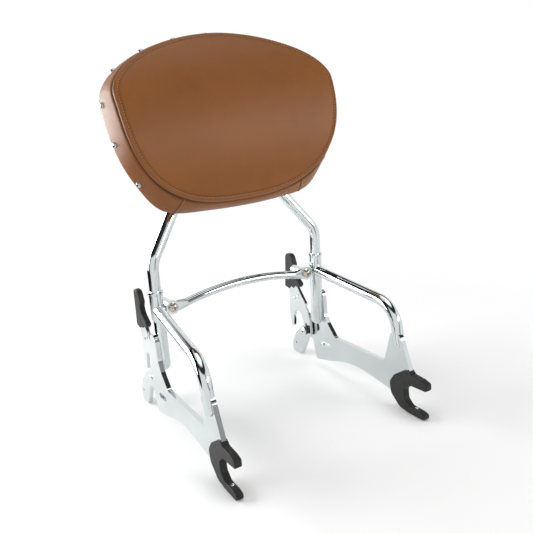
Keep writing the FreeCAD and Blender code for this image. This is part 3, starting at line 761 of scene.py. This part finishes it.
@dataclass
class PadCover:
    """The leather cover: front panel with a sewn lip, boxing, and a turned-in rear edge."""

    shape: PadShape
    cells: int = 52
    panel_inset: float = 10.5
    net_drop: float = 18.0
    swell_cap: float = 2.6
    pressure: float = 5.0
    frames: int = 14
    quality: int = 6
    cloth_mass: float = 0.4
    stretch: float = 60.0
    shear: float = 30.0
    bending: float = 12.0
    pucker: float = 0.22
    pucker_scale: float = 260.0
    pucker_gain: float = 1.6
    pucker_cap: float = 0.5
    sag: float = 0.45
    sag_scale: float = 22.0
    sag_shift: tuple = (3.0, 1.0, 7.0)
    # Offset outside the edge, depth, hold and seam mark of each ring; the seam mark is painted shade in the
    # grooves and also draws the puckers.
    lip: tuple = (
        (-8.6, 0.0, Cut.FREE, 0.0), (-7.2, 0.35, Cut.TAUT, 0.1), (-6.1, 1.0, Cut.SEWN, 0.45),
        (-5.3, 1.35, Cut.SEWN, 0.5), (-4.5, 0.9, Cut.SEWN, 0.15), (-3.7, 0.2, Cut.TAUT, 0.0),
        (-2.9, -0.1, Cut.TAUT, 0.0), (-2.1, 0.1, Cut.TAUT, 0.0), (-1.3, 0.7, Cut.TAUT, 0.0),
        (-0.6, 1.7, Cut.SEWN, 0.0), (-0.1, 2.9, Cut.SEWN, 0.0), (-0.15, 4.0, Cut.SEWN, 0.1),
        (-0.8, 4.9, Cut.SEWN, 0.6), (-2.2, 5.4, Cut.SEWN, 1.0),
    )
    # Share of the way back, lift, hold and seam mark of each ring; the seam mark is painted shade in the
    # grooves and also draws the puckers.
    boxing: tuple = (
        (0.0, -2.2, Cut.SEWN, 1.0), (0.02, -0.9, Cut.SEWN, 0.5), (0.05, 0.0, Cut.TAUT, 0.05),
        (0.11, 0.35, Cut.FREE, 0.0), (0.2, 0.7, Cut.FREE, 0.0), (0.31, 1.0, Cut.FREE, 0.0),
        (0.43, 1.15, Cut.FREE, 0.0), (0.56, 1.1, Cut.FREE, 0.0), (0.68, 0.9, Cut.FREE, 0.0),
        (0.79, 0.6, Cut.FREE, 0.0), (0.88, 0.3, Cut.TAUT, 0.0), (0.94, 0.0, Cut.SEWN, 0.0),
        (0.98, -0.6, Cut.SEWN, 0.2), (1.0, -1.7, Cut.SEWN, 0.6),
    )
    seam_start: float = 5.7
    back_insets: tuple = (3.6, 7.0, 12.0)
    back_inset: float = 16.0
    # Painted seam shade, and pucker, on the rings just inside the rear edge.
    back_seam: float = 0.6
    back_margin: float = 0.5

    def build(self, leather: bpy.types.Material) -> bpy.types.Object:
        """Build the closed cover, swell it over its foam and smooth it.

        Args:
            leather: the cover's material.

        Returns:
            The cover.
        """
        self.points: list[Vector] = []
        self.holds: list[float] = []
        self.seams: list[float] = []
        self.faces: list[tuple[int, ...]] = []
        turns, rim, front = self._grid(self._panel_point, self.panel_inset)
        self.faces += front
        rings = [rim]
        for offset, depth, cut, seam in self.lip:
            rings.append(self._ring(turns, self._lip_point, (offset, depth), cut, seam))
        for share, lift, cut, seam in self.boxing:
            rings.append(self._ring(turns, self._boxing_point, (share, lift), cut, seam))
        for inset in self.back_insets:
            rings.append(self._ring(turns, self._back_point, (1.0, inset), Cut.SEWN, self.back_seam))
        _, back_rim, back = self._grid(self._back_point, self.back_inset)
        self.faces += [tuple(reversed(face)) for face in back]
        rings.append(back_rim)
        for outer, inner in zip(rings, rings[1:]):
            self.faces += band(outer, inner)
        placed = [self.shape.to_row(*point) for point in self.points]
        piece = mesh_piece("pad_cover", placed, self.faces, leather)
        turn_outwards(piece)
        # The seam mark paints shade into the grooves; the puckers follow it too.
        mark = piece.data.attributes.new("seam", "FLOAT", "POINT")
        mark.data.foreach_set("value", self.seams)
        self._swell(piece)
        refine(piece, 1)
        self._pucker(piece)
        return piece

    def _grid(self, place: Callable[[float, float, float], Vector],
              inset: float) -> tuple[list[float], list[int], list[tuple]]:
        """Lay a square net over a face of the pad.

        Args:
            place: gives the point at a turn, a share of the way out, and the rim's inset.
            inset: how far inside the edge the net ends.

        Returns:
            The turn of each rim point, the rim's vertex numbers, and the faces.
        """
        count = self.cells
        net = [[0] * (count + 1) for _ in range(count + 1)]
        turn_of = {}
        for row in range(count + 1):
            for column in range(count + 1):
                u, v = 2 * column / count - 1, 2 * row / count - 1
                x, y = u * math.sqrt(1 - v * v / 2), v * math.sqrt(1 - u * u / 2)
                turn = math.atan2(y, x) % (2 * math.pi)
                net[row][column] = self._add(place(turn, min(math.hypot(x, y), 1.0), inset), Cut.FREE, 0.0)
                turn_of[net[row][column]] = turn
        faces = []
        for row in range(count):
            for column in range(count):
                faces.append((net[row][column], net[row + 1][column], net[row + 1][column + 1],
                              net[row][column + 1]))
        rim = [net[0][column] for column in range(count)]
        rim += [net[row][count] for row in range(count)]
        rim += [net[count][column] for column in range(count, 0, -1)]
        rim += [net[row][0] for row in range(count, 0, -1)]
        return [turn_of[number] for number in rim], rim, faces

    def _add(self, point: Vector, cut: Cut, seam: float) -> int:
        """Add a vertex and return its number.

        Args:
            point: across, depth and level.
            cut: how it is held.
            seam: how much painted shade darkens it and how far it is drawn in, from 0 to 1.

        Returns:
            The vertex number.
        """
        self.points.append(point)
        self.holds.append(cut.value)
        self.seams.append(seam)
        return len(self.points) - 1

    def _ring(self, turns: list[float], place: Callable[..., Vector], values: tuple[float, ...], cut: Cut,
              seam: float) -> list[int]:
        """Add a ring of vertices, one where place puts each turn and the values."""
        return [self._add(place(turn, *values), cut, seam) for turn in turns]

    def _panel_point(self, turn: float, share: float, inset: float) -> Vector:
        """Return a point of the front panel inside its lip.

        Args:
            turn: angle round the pad.
            share: share of the way out to the rim.
            inset: how far inside the edge the rim lies.

        Returns:
            The point.
        """
        rim = self._lip_point(turn, -inset, 0.0)
        level = self._net_level(rim.z, share)
        return Vector((rim.x * share, self.shape.front(level), level))

    def _net_level(self, rim: float, share: float) -> float:
        """Return the level at a share of the way from the net's middle to its rim."""
        middle = self.shape.widest - self.net_drop
        return middle + (rim - middle) * share

    def _lip_point(self, turn: float, offset: float, depth: float) -> Vector:
        """Return a point near the front edge, by its offset outwards and its depth.

        Args:
            turn: angle round the pad.
            offset: distance outside the edge.
            depth: distance behind the front face.

        Returns:
            The point.
        """
        angle = self.shape.even_angle(turn)
        edge = self.shape.edge(angle) + self.shape.outward(angle) * offset
        return Vector((edge.x, self.shape.front(edge.z) + depth, edge.z))

    def _boxing_point(self, turn: float, share: float, lift: float) -> Vector:
        """Return a point of the boxing, by its share of the way back and its lift.

        Args:
            turn: angle round the pad.
            share: share of the way from the lip to the rear edge.
            lift: distance outside the boxing's plain side.

        Returns:
            The point.
        """
        angle = self.shape.even_angle(turn)
        start = self.shape.edge(angle).y + self.seam_start
        depth = start + (self.shape.rear_edge(angle).y - start) * share
        return self.shape.side(angle, depth) + self.shape.outward(angle) * lift

    def _back_point(self, turn: float, share: float, inset: float) -> Vector:
        """Return a point of the rear face inside its edge.

        Args:
            turn: angle round the pad.
            share: share of the way out to the rim.
            inset: how far inside the edge the rim lies.

        Returns:
            The point.
        """
        angle = self.shape.even_angle(turn)
        edge = self.shape.rear_edge(angle) - self.shape.outward(angle) * inset
        level = self._net_level(edge.z, share)
        return Vector((edge.x * share, self.shape.rear(level), level))

    def _swell(self, piece: bpy.types.Object) -> None:
        """Let the foam press the cover out between its seams, no further than the cap.

        Args:
            piece: the cover, whose mesh is changed.
        """
        mesh = piece.data
        rest = [vertex.co.copy() for vertex in mesh.vertices]
        pins = piece.vertex_groups.new(name="sewn")
        for index, hold in enumerate(self.holds):
            pins.add([index], 1.0 if self._is_back(index) else hold, "REPLACE")
        cloth = piece.modifiers.new("Swell", "CLOTH")
        settings = cloth.settings
        settings.quality = self.quality
        settings.mass = self.cloth_mass
        settings.tension_stiffness = self.stretch
        settings.compression_stiffness = self.stretch
        settings.shear_stiffness = self.shear
        settings.bending_stiffness = self.bending
        settings.use_pressure = True
        settings.uniform_pressure_force = self.pressure
        settings.vertex_group_mass = "sewn"
        settings.effector_weights.gravity = 0.0
        cloth.point_cache.frame_start = 1
        cloth.point_cache.frame_end = self.frames
        scene = bpy.context.scene
        for number in range(1, self.frames + 1):
            scene.frame_set(number)
        settle(piece)
        scene.frame_set(1)
        for vertex, start in zip(piece.data.vertices, rest):
            move = vertex.co - start
            cap = self.swell_cap * MM
            if move.length > TINY:
                vertex.co = start + move.normalized() * cap * math.tanh(move.length / cap)
        piece.vertex_groups.clear()
        piece.data.update()

    def _is_back(self, index: int) -> bool:
        """Say whether a vertex lies on the rear face."""
        point = self.points[index]
        return abs(point.y - self.shape.rear(point.z)) < self.back_margin

    def _pucker(self, piece: bpy.types.Object) -> None:
        """Draw the leather into small puckers along the sewn line.

        Args:
            piece: the cover, whose mesh is changed.
        """
        marks = piece.data.attributes["seam"].data
        normals = [vertex.normal.copy() for vertex in piece.data.vertices]
        for vertex, normal, mark in zip(piece.data.vertices, normals, marks):
            ripple = noise.noise(vertex.co * self.pucker_scale)
            broad = noise.noise(vertex.co * self.sag_scale + Vector(self.sag_shift))
            drawn = min(mark.value * self.pucker_gain, self.pucker_cap)
            vertex.co += normal * (ripple * self.pucker * drawn + broad * self.sag) * MM
        piece.data.update()


@dataclass
class Sewing:
    """The single row of top stitches round the front panel."""

    shape: PadShape
    inset: float = 5.3
    pitch: float = 3.8
    length: float = 2.8
    radius: float = 0.62
    sink: float = 0.12
    ride: float = 0.75
    taper: float = 0.9
    dip: float = 0.5
    sides: int = 6
    rings: int = 5
    samples: int = 1440
    reach: int = 2
    probe: float = 30.0

    def build(self, cover: bpy.types.Object, thread: bpy.types.Material) -> bpy.types.Object:
        """Lay the stitches on the cover.

        Args:
            cover: the finished cover.
            thread: the stitches' material.

        Returns:
            One piece with all the stitches.
        """
        surface = surface_of(cover)
        line = self._line(surface)
        points: list[Vector] = []
        faces: list[tuple[int, ...]] = []
        for place, normal, along in line:
            self._stitch(points, faces, place, normal, along)
        return mesh_piece("pad_stitches", points, faces, thread)

    def _line(self, surface: BVHTree) -> list[tuple[Vector, Vector, Vector]]:
        """Return place, normal and direction of each stitch.

        Args:
            surface: the cover's surface.

        Returns:
            One place, normal and direction for each stitch, in order.
        """
        forward = (self.shape.to_row(0, -1, 0) - self.shape.to_row(0, 0, 0)).normalized()
        dense = []
        for step in range(self.samples):
            angle = self.shape.even_angle(2 * math.pi * step / self.samples)
            edge = self.shape.edge(angle) - self.shape.outward(angle) * self.inset
            above = self.shape.to_row(edge.x, self.shape.front(edge.z), edge.z) + forward * (self.probe * MM)
            place, normal, _, _ = surface.ray_cast(above, -forward)
            dense.append((place, normal))
        total = sum((dense[i][0] - dense[i - 1][0]).length for i in range(len(dense)))
        count = round(total / (self.pitch * MM))
        result, run, target = [], 0.0, 0.0
        for index in range(len(dense)):
            place, normal = dense[index]
            ahead = dense[(index + self.reach) % len(dense)][0]
            along = (ahead - dense[index - self.reach][0]).normalized()
            run += (place - dense[index - 1][0]).length if index else 0.0
            if run >= target and len(result) < count:
                result.append((place, normal, along))
                target += total / count
        return result

    def _stitch(self, points: list[Vector], faces: list[tuple[int, ...]], place: Vector, normal: Vector,
                along: Vector) -> None:
        """Add one stitch: a short thread whose ends dip into the leather.

        Args:
            points: the vertices so far.
            faces: the faces so far.
            place: the stitch's middle on the leather.
            normal: the direction away from the leather.
            along: the direction of the sewn line.
        """
        side = normal.cross(along).normalized()
        first = len(points)
        for ring in range(self.rings):
            share = ring / (self.rings - 1) * 2 - 1
            radius = self.radius * math.sqrt(1 - share ** 4 * self.taper)
            rise = (self.radius * self.ride - self.sink) - self.dip * share ** 4
            centre = place + along * share * self.length / 2 * MM + normal * rise * MM
            for step in range(self.sides):
                angle = 2 * math.pi * step / self.sides
                points.append(centre + (side * math.cos(angle) + normal * math.sin(angle)) * radius * MM)
        rings = [range(start, start + self.sides) for start in range(first, len(points), self.sides)]
        for near, far in zip(rings, rings[1:]):
            faces.extend(band(near, far))
        faces.extend((tuple(reversed(rings[0])), tuple(rings[-1])))


@dataclass
class BoxingSeams:
    """The two seams where the lengths of boxing meet."""

    shape: PadShape
    turns: tuple = ((Side.LEFT, -123.0), (Side.RIGHT, -58.0))
    # Shift across the seam and lift off the boxing.
    profile: tuple = ((-5.0, -0.35), (-3.6, 0.25), (-1.9, 0.62), (-0.9, 0.5), (-0.5, 0.05), (0.0, -0.15),
                      (0.6, 0.02), (1.2, 0.2), (3.0, -0.35))
    # Half-width of the painted shade along the seam's valley.
    crease: float = 0.95
    steps: int = 26
    run_in: float = 6.0
    run_out: float = 0.8
    thickness: float = 0.7
    probe: float = 20.0

    def build(self, cover: bpy.types.Object, leather: bpy.types.Material) -> list[bpy.types.Object]:
        """Lay both seams on the cover and return them."""
        surface = surface_of(cover)
        return [self._seam(surface, side, turn, leather) for side, turn in self.turns]

    def _seam(self, surface: BVHTree, side: Side, degrees: float,
              leather: bpy.types.Material) -> bpy.types.Object:
        """Lay one seam from the lip to the rear edge.

        Args:
            surface: the cover's surface.
            side: the side that names the seam.
            degrees: its angle round the pad.
            leather: the seam's material.

        Returns:
            The seam.
        """
        angle = self.shape.even_angle(math.radians(degrees))
        out = self.shape.outward(angle)
        outward = (self.shape.to_row(out.x, 0, out.z) - self.shape.to_row(0, 0, 0)).normalized()
        along = (self.shape.to_row(0, 1, 0) - self.shape.to_row(0, 0, 0)).normalized()
        across = along.cross(outward).normalized()
        start = self.shape.edge(angle).y + self.run_in
        stop = self.shape.rear_edge(angle).y - self.run_out
        points, faces, seams = [], [], []
        width = len(self.profile)
        for step in range(self.steps + 1):
            depth = start + (stop - start) * step / self.steps
            middle = self.shape.to_row(*self.shape.side(angle, depth))
            for shift, lift in self.profile:
                above = middle + across * shift * MM + outward * (self.probe * MM)
                place, normal, _, _ = surface.ray_cast(above, -outward)
                place = place or middle
                points.append(place + (normal or outward) * lift * MM)
                # Painted shade along the seam's valley.
                seams.append(1.0 if abs(shift) < self.crease else 0.0)
        for step in range(self.steps):
            for index in range(width - 1):
                a = step * width + index
                faces.append((a, a + 1, a + width + 1, a + width))
        piece = mesh_piece("boxing_seam_" + side.word, points, faces, leather)
        solid = piece.modifiers.new("Thick", "SOLIDIFY")
        solid.thickness = self.thickness * MM
        solid.offset = -1.0
        # The seam mark paints shade into the seam's valley.
        mark = piece.data.attributes.new("seam", "FLOAT", "POINT")
        mark.data.foreach_set("value", seams)
        settle(piece)
        turn_outwards(piece)
        piece.data.shade_smooth()
        return piece


@dataclass
class StudRow:
    """The domed studs along the sides and the top of the boxing."""

    shape: PadShape
    count: int = 13
    first_gap: float = 1.14
    start: float = 40.0
    inset: float = 9.0
    radius: float = 4.0
    height: float = 3.1
    # Share of the radius and height above the underside.
    rim: tuple = ((0.86, 0.0), (1.0, 0.35), (1.0, 0.75), (0.93, 1.05))
    dome: float = 0.9
    seat: float = 0.3
    rings: int = 7
    sides: int = 20
    samples: int = 600
    probe: float = 20.0

    def build(self, cover: bpy.types.Object, chrome: bpy.types.Material) -> bpy.types.Object:
        """Seat every stud on the cover and return them as one piece.

        Args:
            cover: the finished cover.
            chrome: the studs' material.

        Returns:
            One piece with all the studs.
        """
        surface = surface_of(cover)
        points: list[Vector] = []
        faces: list[tuple[int, ...]] = []
        for place, outward in self._places():
            hit, _, _, _ = surface.ray_cast(place + outward * (self.probe * MM), -outward)
            self._stud(points, faces, (hit or place) - outward * (self.seat * MM), outward)
        return mesh_piece("pad_stud_row", points, faces, chrome)

    def _places(self) -> list[tuple[Vector, Vector]]:
        """Return place and outward direction of each stud.

        Returns:
            One place and direction for each stud, in order.
        """
        start = math.radians(self.start)
        chain = []
        for step in range(self.samples + 1):
            angle = -start + (math.pi + 2 * start) * step / self.samples
            chain.append((angle, self._point(angle)))
        runs = [0.0]
        for (_, before), (_, after) in zip(chain, chain[1:]):
            runs.append(runs[-1] + (after - before).length)
        result = []
        for number in range(self.count):
            target = runs[-1] * self._share(number)
            index = min(range(1, self.samples), key=lambda step: abs(runs[step] - target))
            along = chain[index + 1][1] - chain[index - 1][1]
            lean = math.atan(self.shape.slope(chain[index][0]))
            out = Vector((along.z, 0.0, -along.x)).normalized() * math.cos(lean)
            out.y = -math.sin(lean)
            origin = self.shape.to_row(0, 0, 0)
            outward = (self.shape.to_row(*out) - origin).normalized()
            result.append((self.shape.to_row(*chain[index][1]), outward))
        return result

    def _share(self, number: int) -> float:
        """Return a stud's share of the way along; the first and last gaps are a little wider.

        Args:
            number: the stud's number, from 0.

        Returns:
            The share, from 0 to 1.
        """
        wider = self.first_gap - 1
        last = self.count - 1
        place = number + wider * ((number > 0) + (number == last))
        return place / (last + 2 * wider)

    def _point(self, angle: float) -> Vector:
        """Return the stud line's point at an angle."""
        return self.shape.rear_edge(angle, self.inset)

    def _stud(self, points: list[Vector], faces: list[tuple[int, ...]], place: Vector,
              outward: Vector) -> None:
        """Add one stud: a rolled rim, a dome and a flat underside.

        Args:
            points: the vertices so far.
            faces: the faces so far.
            place: the middle of its underside.
            outward: the direction that its dome faces.
        """
        axes = outward.to_track_quat("Z", "Y").to_matrix()
        profile = [(self.radius * share, rise) for share, rise in self.rim]
        foot = profile[-1][1]
        for ring in range(1, self.rings):
            angle = math.pi / 2 * ring / self.rings
            rise = foot + (self.height - foot) * math.sin(angle)
            profile.append((self.radius * self.dome * math.cos(angle), rise))
        rings = []
        for radius, rise in profile:
            rings.append(range(len(points), len(points) + self.sides))
            for step in range(self.sides):
                angle = 2 * math.pi * step / self.sides
                local = Vector((radius * math.cos(angle), radius * math.sin(angle), rise)) * MM
                points.append(place + axes @ local)
        crown = len(points)
        points.append(place + axes @ Vector((0, 0, self.height)) * MM)
        for lower, upper in zip(rings, rings[1:]):
            faces.extend(band(lower, upper))
        top = rings[-1]
        for step in range(self.sides):
            faces.append((top[step], top[(step + 1) % self.sides], crown))
        faces.append(tuple(reversed(rings[0])))


@dataclass
class BackBoard:
    """The moulded board behind the cushion, with a rounded rear rim and four screw bosses."""

    shape: PadShape
    grow: float = 5.5
    back: float = 71.1
    gap: float = 0.5
    straight: float = 1.0
    rim: float = 20.0
    steps: int = 144
    rim_rings: int = 8
    shares: tuple = (0.3, 0.6, 0.85)
    screw_level: float = 34.2
    screw_across: float = 50.0
    screw_along: float = 30.0
    # Radius about the screw and depth.
    boss: tuple = ((3.3, 70.6), (3.3, 77.7), (3.7, 78.1), (8.6, 78.1), (9.0, 77.7), (9.7, 70.6))
    boss_sides: int = 32

    def build(self, plastic: bpy.types.Material) -> bpy.types.Object:
        """Build the board and its bosses as one closed piece.

        Args:
            plastic: the board's material.

        Returns:
            The board.
        """
        self.points: list[Vector] = []
        self.faces: list[tuple[int, ...]] = []
        rings = [self._front_ring(share) for share in (*self.shares, 1.0)]
        for step in range(self.rim_rings + 1):
            rings.append(self._rim_ring(math.pi / 2 * step / self.rim_rings))
        for share in reversed(self.shares):
            rings.append(self._rim_ring(math.pi / 2, share))
        for first, second in zip(rings, rings[1:]):
            self.faces += band(first, second)
        self.faces += [tuple(reversed(rings[0])), tuple(rings[-1])]
        for across in (-self.screw_across, self.screw_across):
            for along in (-self.screw_along, self.screw_along):
                self._boss(across, self.screw_level + along)
        piece = mesh_piece("pad_back_board", self.points, self.faces, plastic)
        turn_outwards(piece)
        return piece

    def _front(self, level: float) -> float:
        """Return the depth of the board's curved front at a level."""
        return self.shape.rear(level) + self.gap

    def _front_ring(self, share: float) -> range:
        """Add a ring of the curved front.

        Args:
            share: share of the way out to the outline.

        Returns:
            The ring's vertex numbers.
        """
        for step in range(self.steps):
            across, level = self.shape.outline(2 * math.pi * step / self.steps, self.grow)
            level = self.shape.widest + (level - self.shape.widest) * share
            self.points.append(self.shape.to_row(across * share, self._front(level), level))
        return range(len(self.points) - self.steps, len(self.points))

    def _rim_ring(self, angle: float, share: float = 1.0) -> range:
        """Add a ring of the rounded rim, or of the flat back inside it.

        Args:
            angle: how far round the rim, from 0 at the front to a quarter turn at the back.
            share: share of the way out to the rim.

        Returns:
            The ring's vertex numbers.
        """
        for step in range(self.steps):
            turn = 2 * math.pi * step / self.steps
            across, level = self.shape.outline(turn, self.grow)
            out = self.shape.outward(turn)
            inset = self.rim * (1 - math.cos(angle))
            begin = self._front(level) + self.straight
            depth = begin + (self.back - begin) * math.sin(angle)
            across, level = across - out.x * inset, level - out.z * inset
            level = self.shape.widest + (level - self.shape.widest) * share
            self.points.append(self.shape.to_row(across * share, depth, level))
        return range(len(self.points) - self.steps, len(self.points))

    def _boss(self, across: float, level: float) -> None:
        """Add one screw boss, a ring turned about its screw.

        Args:
            across: the screw's place along X.
            level: the screw's level.
        """
        rings = []
        for radius, depth in self.boss:
            start = len(self.points)
            for step in range(self.boss_sides):
                angle = 2 * math.pi * step / self.boss_sides
                x, rise = across + radius * math.cos(angle), level + radius * math.sin(angle)
                self.points.append(self.shape.to_row(x, depth, rise))
            rings.append(range(start, start + self.boss_sides))
        for first, second in zip(rings, rings[1:] + rings[:1]):
            self.faces += band(first, second)


@dataclass
class Pad:
    """The whole pad: cover, stitches, boxing seams, studs and the parts behind it."""

    finishes: Finishes
    shape: PadShape = field(default_factory=PadShape)

    def build(self) -> list[bpy.types.Object]:
        """Build the pad's pieces, let them ride on the frame and return them.

        Returns:
            The pieces.
        """
        leather = self.finishes.get(SADDLE)
        cover = PadCover(self.shape).build(leather)
        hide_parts("pad_cushion")
        stitches = Sewing(self.shape).build(cover, self.finishes.get(THREAD))
        seams = BoxingSeams(self.shape).build(cover, leather)
        studs = StudRow(self.shape).build(cover, self.finishes.get(SHADED_STUD_CHROME))
        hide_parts("pad_studs")
        board = BackBoard(self.shape).build(self.finishes.get(PLASTIC))
        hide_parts("pad_board")
        pieces = [cover, stitches, *seams, studs, board]
        for piece in pieces:
            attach(piece, "frame")
        return pieces


# The frame


@dataclass
class DockingFrame:
    """The carried-over parts of the frame and their finishes."""

    finishes: Finishes
    chromed: tuple = ("side_plate", "cover_rivets", "latch_plate", "grip_screws", "pivot_bolt", "collar",
                      "rear_leg", "brace", "bar_boss")
    rubber: tuple = ("fork_cover", "latch_grip")
    black: tuple = ("latch_spring",)
    plastic: tuple = ("pivot_washer",)

    def dress(self) -> list[str]:
        """Give every carried-over node its finish and return their names.

        Returns:
            The nodes' names.
        """
        dressed = []
        for side in Side:
            for parts, finish in ((self.chromed, CHROME), (self.rubber, RUBBER), (self.black, SATIN_BLACK),
                                  (self.plastic, PLASTIC)):
                for part in parts:
                    dressed.append(self._coat("%s_%s" % (side.word, part), finish))
        for node, finish in (("hoop", CHROME), ("cross_bar", CHROME), ("bar_bolts", BOLT),
                             ("pad_bracket", SATIN_BLACK), ("pad_washers", ZINC),
                             ("pad_screws", ZINC)):
            dressed.append(self._coat(node, finish))
        return dressed

    def _coat(self, node: str, finish: Finish) -> str:
        """Put a finish on a node's material slots.

        Args:
            node: the node's name.
            finish: its finish.

        Returns:
            The node's name.
        """
        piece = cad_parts[node]
        material = self.finishes.get(finish)
        if not piece.material_slots:
            piece.data.materials.append(material)
        for slot in piece.material_slots:
            slot.material = material
        return node


# The studio


@dataclass(frozen=True)
class Lamp:
    """One soft rectangular lamp that faces a target, in metres and watts."""

    name: str
    place: tuple[float, float, float]
    target: tuple[float, float, float]
    size: tuple[float, float]
    power: float

    def hang(self) -> None:
        """Hang the lamp."""
        lamp = bpy.data.lights.new(self.name, "AREA")
        lamp.shape = "RECTANGLE"
        lamp.size, lamp.size_y = self.size
        lamp.energy = self.power
        holder = bpy.data.objects.new(self.name, lamp)
        holder.location = self.place
        towards = Vector(self.target) - Vector(self.place)
        holder.rotation_euler = towards.to_track_quat("-Z", "Y").to_euler()
        bpy.context.scene.collection.objects.link(holder)


@dataclass
class Studio:
    """Pale floor, soft light and the camera at the photograph's place."""

    eye: tuple = (-0.3781, -0.7199, 0.4260)
    right: tuple = (0.86432, -0.49357, -0.09677)
    forward: tuple = (0.45815, 0.85199, -0.25347)
    focal_pixels: float = 618.2
    sensor: float = 36.0
    near_clip: float = 0.01
    lamps: tuple = (
        Lamp("left_rear_soft", (-1.45, 1.4, 0.62), (-0.15, 0.05, 0.42), (2.0, 1.2), 70.0),
        Lamp("front_soft", (1.15, -1.8, 0.7), (0.0, 0.0, 0.42), (1.3, 0.35), 17.0),
        Lamp("overhead", (0.1, 0.1, 2.2), (0.0, 0.0, 0.2), (2.4, 2.0), 14.0),
    )
    floor_reach: float = 6.0
    floor_drop: float = 0.0006
    floor_colour: tuple = (0.95, 0.95, 0.95)
    floor_light: tuple = (0.969, 0.969, 0.969)
    backdrop: tuple = (1.0, 1.0, 1.0)
    # Height, from 0 straight down to 1 straight up, and brightness.
    sky: tuple = ((0.0, 0.9), (0.5, 1.0), (0.78, 1.0), (0.82, 0.04), (0.92, 0.04), (0.96, 1.0))
    flag_tone: tuple = (0.012, 0.012, 0.014)
    flag_softness: float = 0.03
    # Bearing and reach in degrees, and darkness.
    flags: tuple = ((148.0, 42.0, 1.0), (284.0, 8.0, 0.9))
    glow_start: float = 0.42
    glow_width: float = 0.3

    def build(self) -> None:
        """Build floor, lights, surroundings and camera."""
        bpy.context.scene.view_settings.view_transform = "Standard"
        self._floor()
        self._world()
        for lamp in self.lamps:
            lamp.hang()
        self._camera()

    def _floor(self) -> None:
        """Lay a wide pale floor."""
        graph = new_graph("pale_floor")
        cloud = graph.clouds(3.0, 2.0)
        place = graph.place()
        reach = graph.node("ShaderNodeVectorMath", {"operation": "LENGTH"}, {0: place}, "Value")
        far = ((reach - self.glow_start) / self.glow_width).clipped()
        mirrored = (1.0 - graph.seen()) * self._flagged(graph, place) * far
        near = graph.mixed(cloud, self.floor_colour, self.floor_light)
        glow = graph.mixed(far, BLACK, self.backdrop)
        material = graph.surface({
            "Base Color": graph.mixed(far, near, BLACK),
            "Roughness": 0.9,
            "Specular IOR Level": 0.0,
            "Emission Color": graph.mixed(mirrored, glow, self.flag_tone),
            "Emission Strength": 1.0,
        })
        half = self.floor_reach
        square = ((-half, -half), (half, -half), (half, half), (-half, half))
        corners = [Vector((x, y, -self.floor_drop)) for x, y in square]
        mesh_piece("studio_floor", corners, [(0, 1, 2, 3)], material)

    def _world(self) -> None:
        """Surround the object with white, and with dark flags that the polished tubes mirror."""
        world = bpy.data.worlds.new("studio")
        graph = Graph(world)
        direction = graph.node("ShaderNodeTexCoord", {}, {}, "Generated")
        flags = self._flagged(graph, direction)
        height = graph.node("ShaderNodeSeparateXYZ", {}, {0: direction}, "Z")
        tone = graph.stops(height * 0.5 + 0.5, self.sky)
        dark = graph.mixed(flags, tone, self.flag_tone)
        colour = graph.mixed(graph.seen(), dark, self.backdrop)
        shader = graph.node("ShaderNodeBackground", {}, {"Color": colour, "Strength": 1.0})
        graph.node_output("ShaderNodeOutputWorld", shader)
        bpy.context.scene.world = world

    def _flagged(self, graph: Graph, direction: Signal) -> Signal:
        """Return how much of a dark flag stands in a direction, by its bearing alone.

        Args:
            graph: the world's or the floor's graph.
            direction: the direction from the middle.

        Returns:
            How dark it is there, from 0 to 1.
        """
        flat = graph.stretched(direction, (1.0, 1.0, 0.0))
        level = graph.node("ShaderNodeVectorMath", {"operation": "NORMALIZE"}, {0: flat})
        flags = 0.0
        for turn, reach, strength in self.flags:
            angle = math.radians(turn)
            towards = (math.cos(angle), math.sin(angle), 0.0)
            inputs = {0: level, 1: towards}
            near = graph.node("ShaderNodeVectorMath", {"operation": "DOT_PRODUCT"}, inputs, "Value")
            edge, soft = math.cos(math.radians(reach)), self.flag_softness
            flags = flags + ((near - edge) / soft + 0.5).clipped() * strength
        return flags.clipped()

    def _camera(self) -> None:
        """Place the camera that the photograph was worked out to have."""
        camera = bpy.data.cameras.new("photo_camera")
        camera.sensor_width = self.sensor
        camera.lens = self.focal_pixels / PHOTO_WIDTH * self.sensor
        camera.clip_start = self.near_clip
        right, forward = Vector(self.right).normalized(), Vector(self.forward).normalized()
        up = right.cross(forward).normalized()
        turn = Matrix((right, up, -forward)).transposed()
        holder = bpy.data.objects.new("photo_camera", camera)
        holder.matrix_world = Matrix.Translation(self.eye) @ turn.to_4x4()
        bpy.context.scene.collection.objects.link(holder)
        bpy.context.scene.camera = holder


def main() -> None:
    """Build the studio, dress the frame and build the pad."""
    logging.basicConfig(level=logging.INFO, format="%(name)s: %(message)s")
    finishes = Finishes()
    Studio().build()
    for node in DockingFrame(finishes).dress():
        log.info("dressed %s", node)
    for piece in Pad(finishes).build():
        log.info("built %s with %d faces", piece.name, len(piece.data.polygons))


if __name__ == "__main__":
    main()
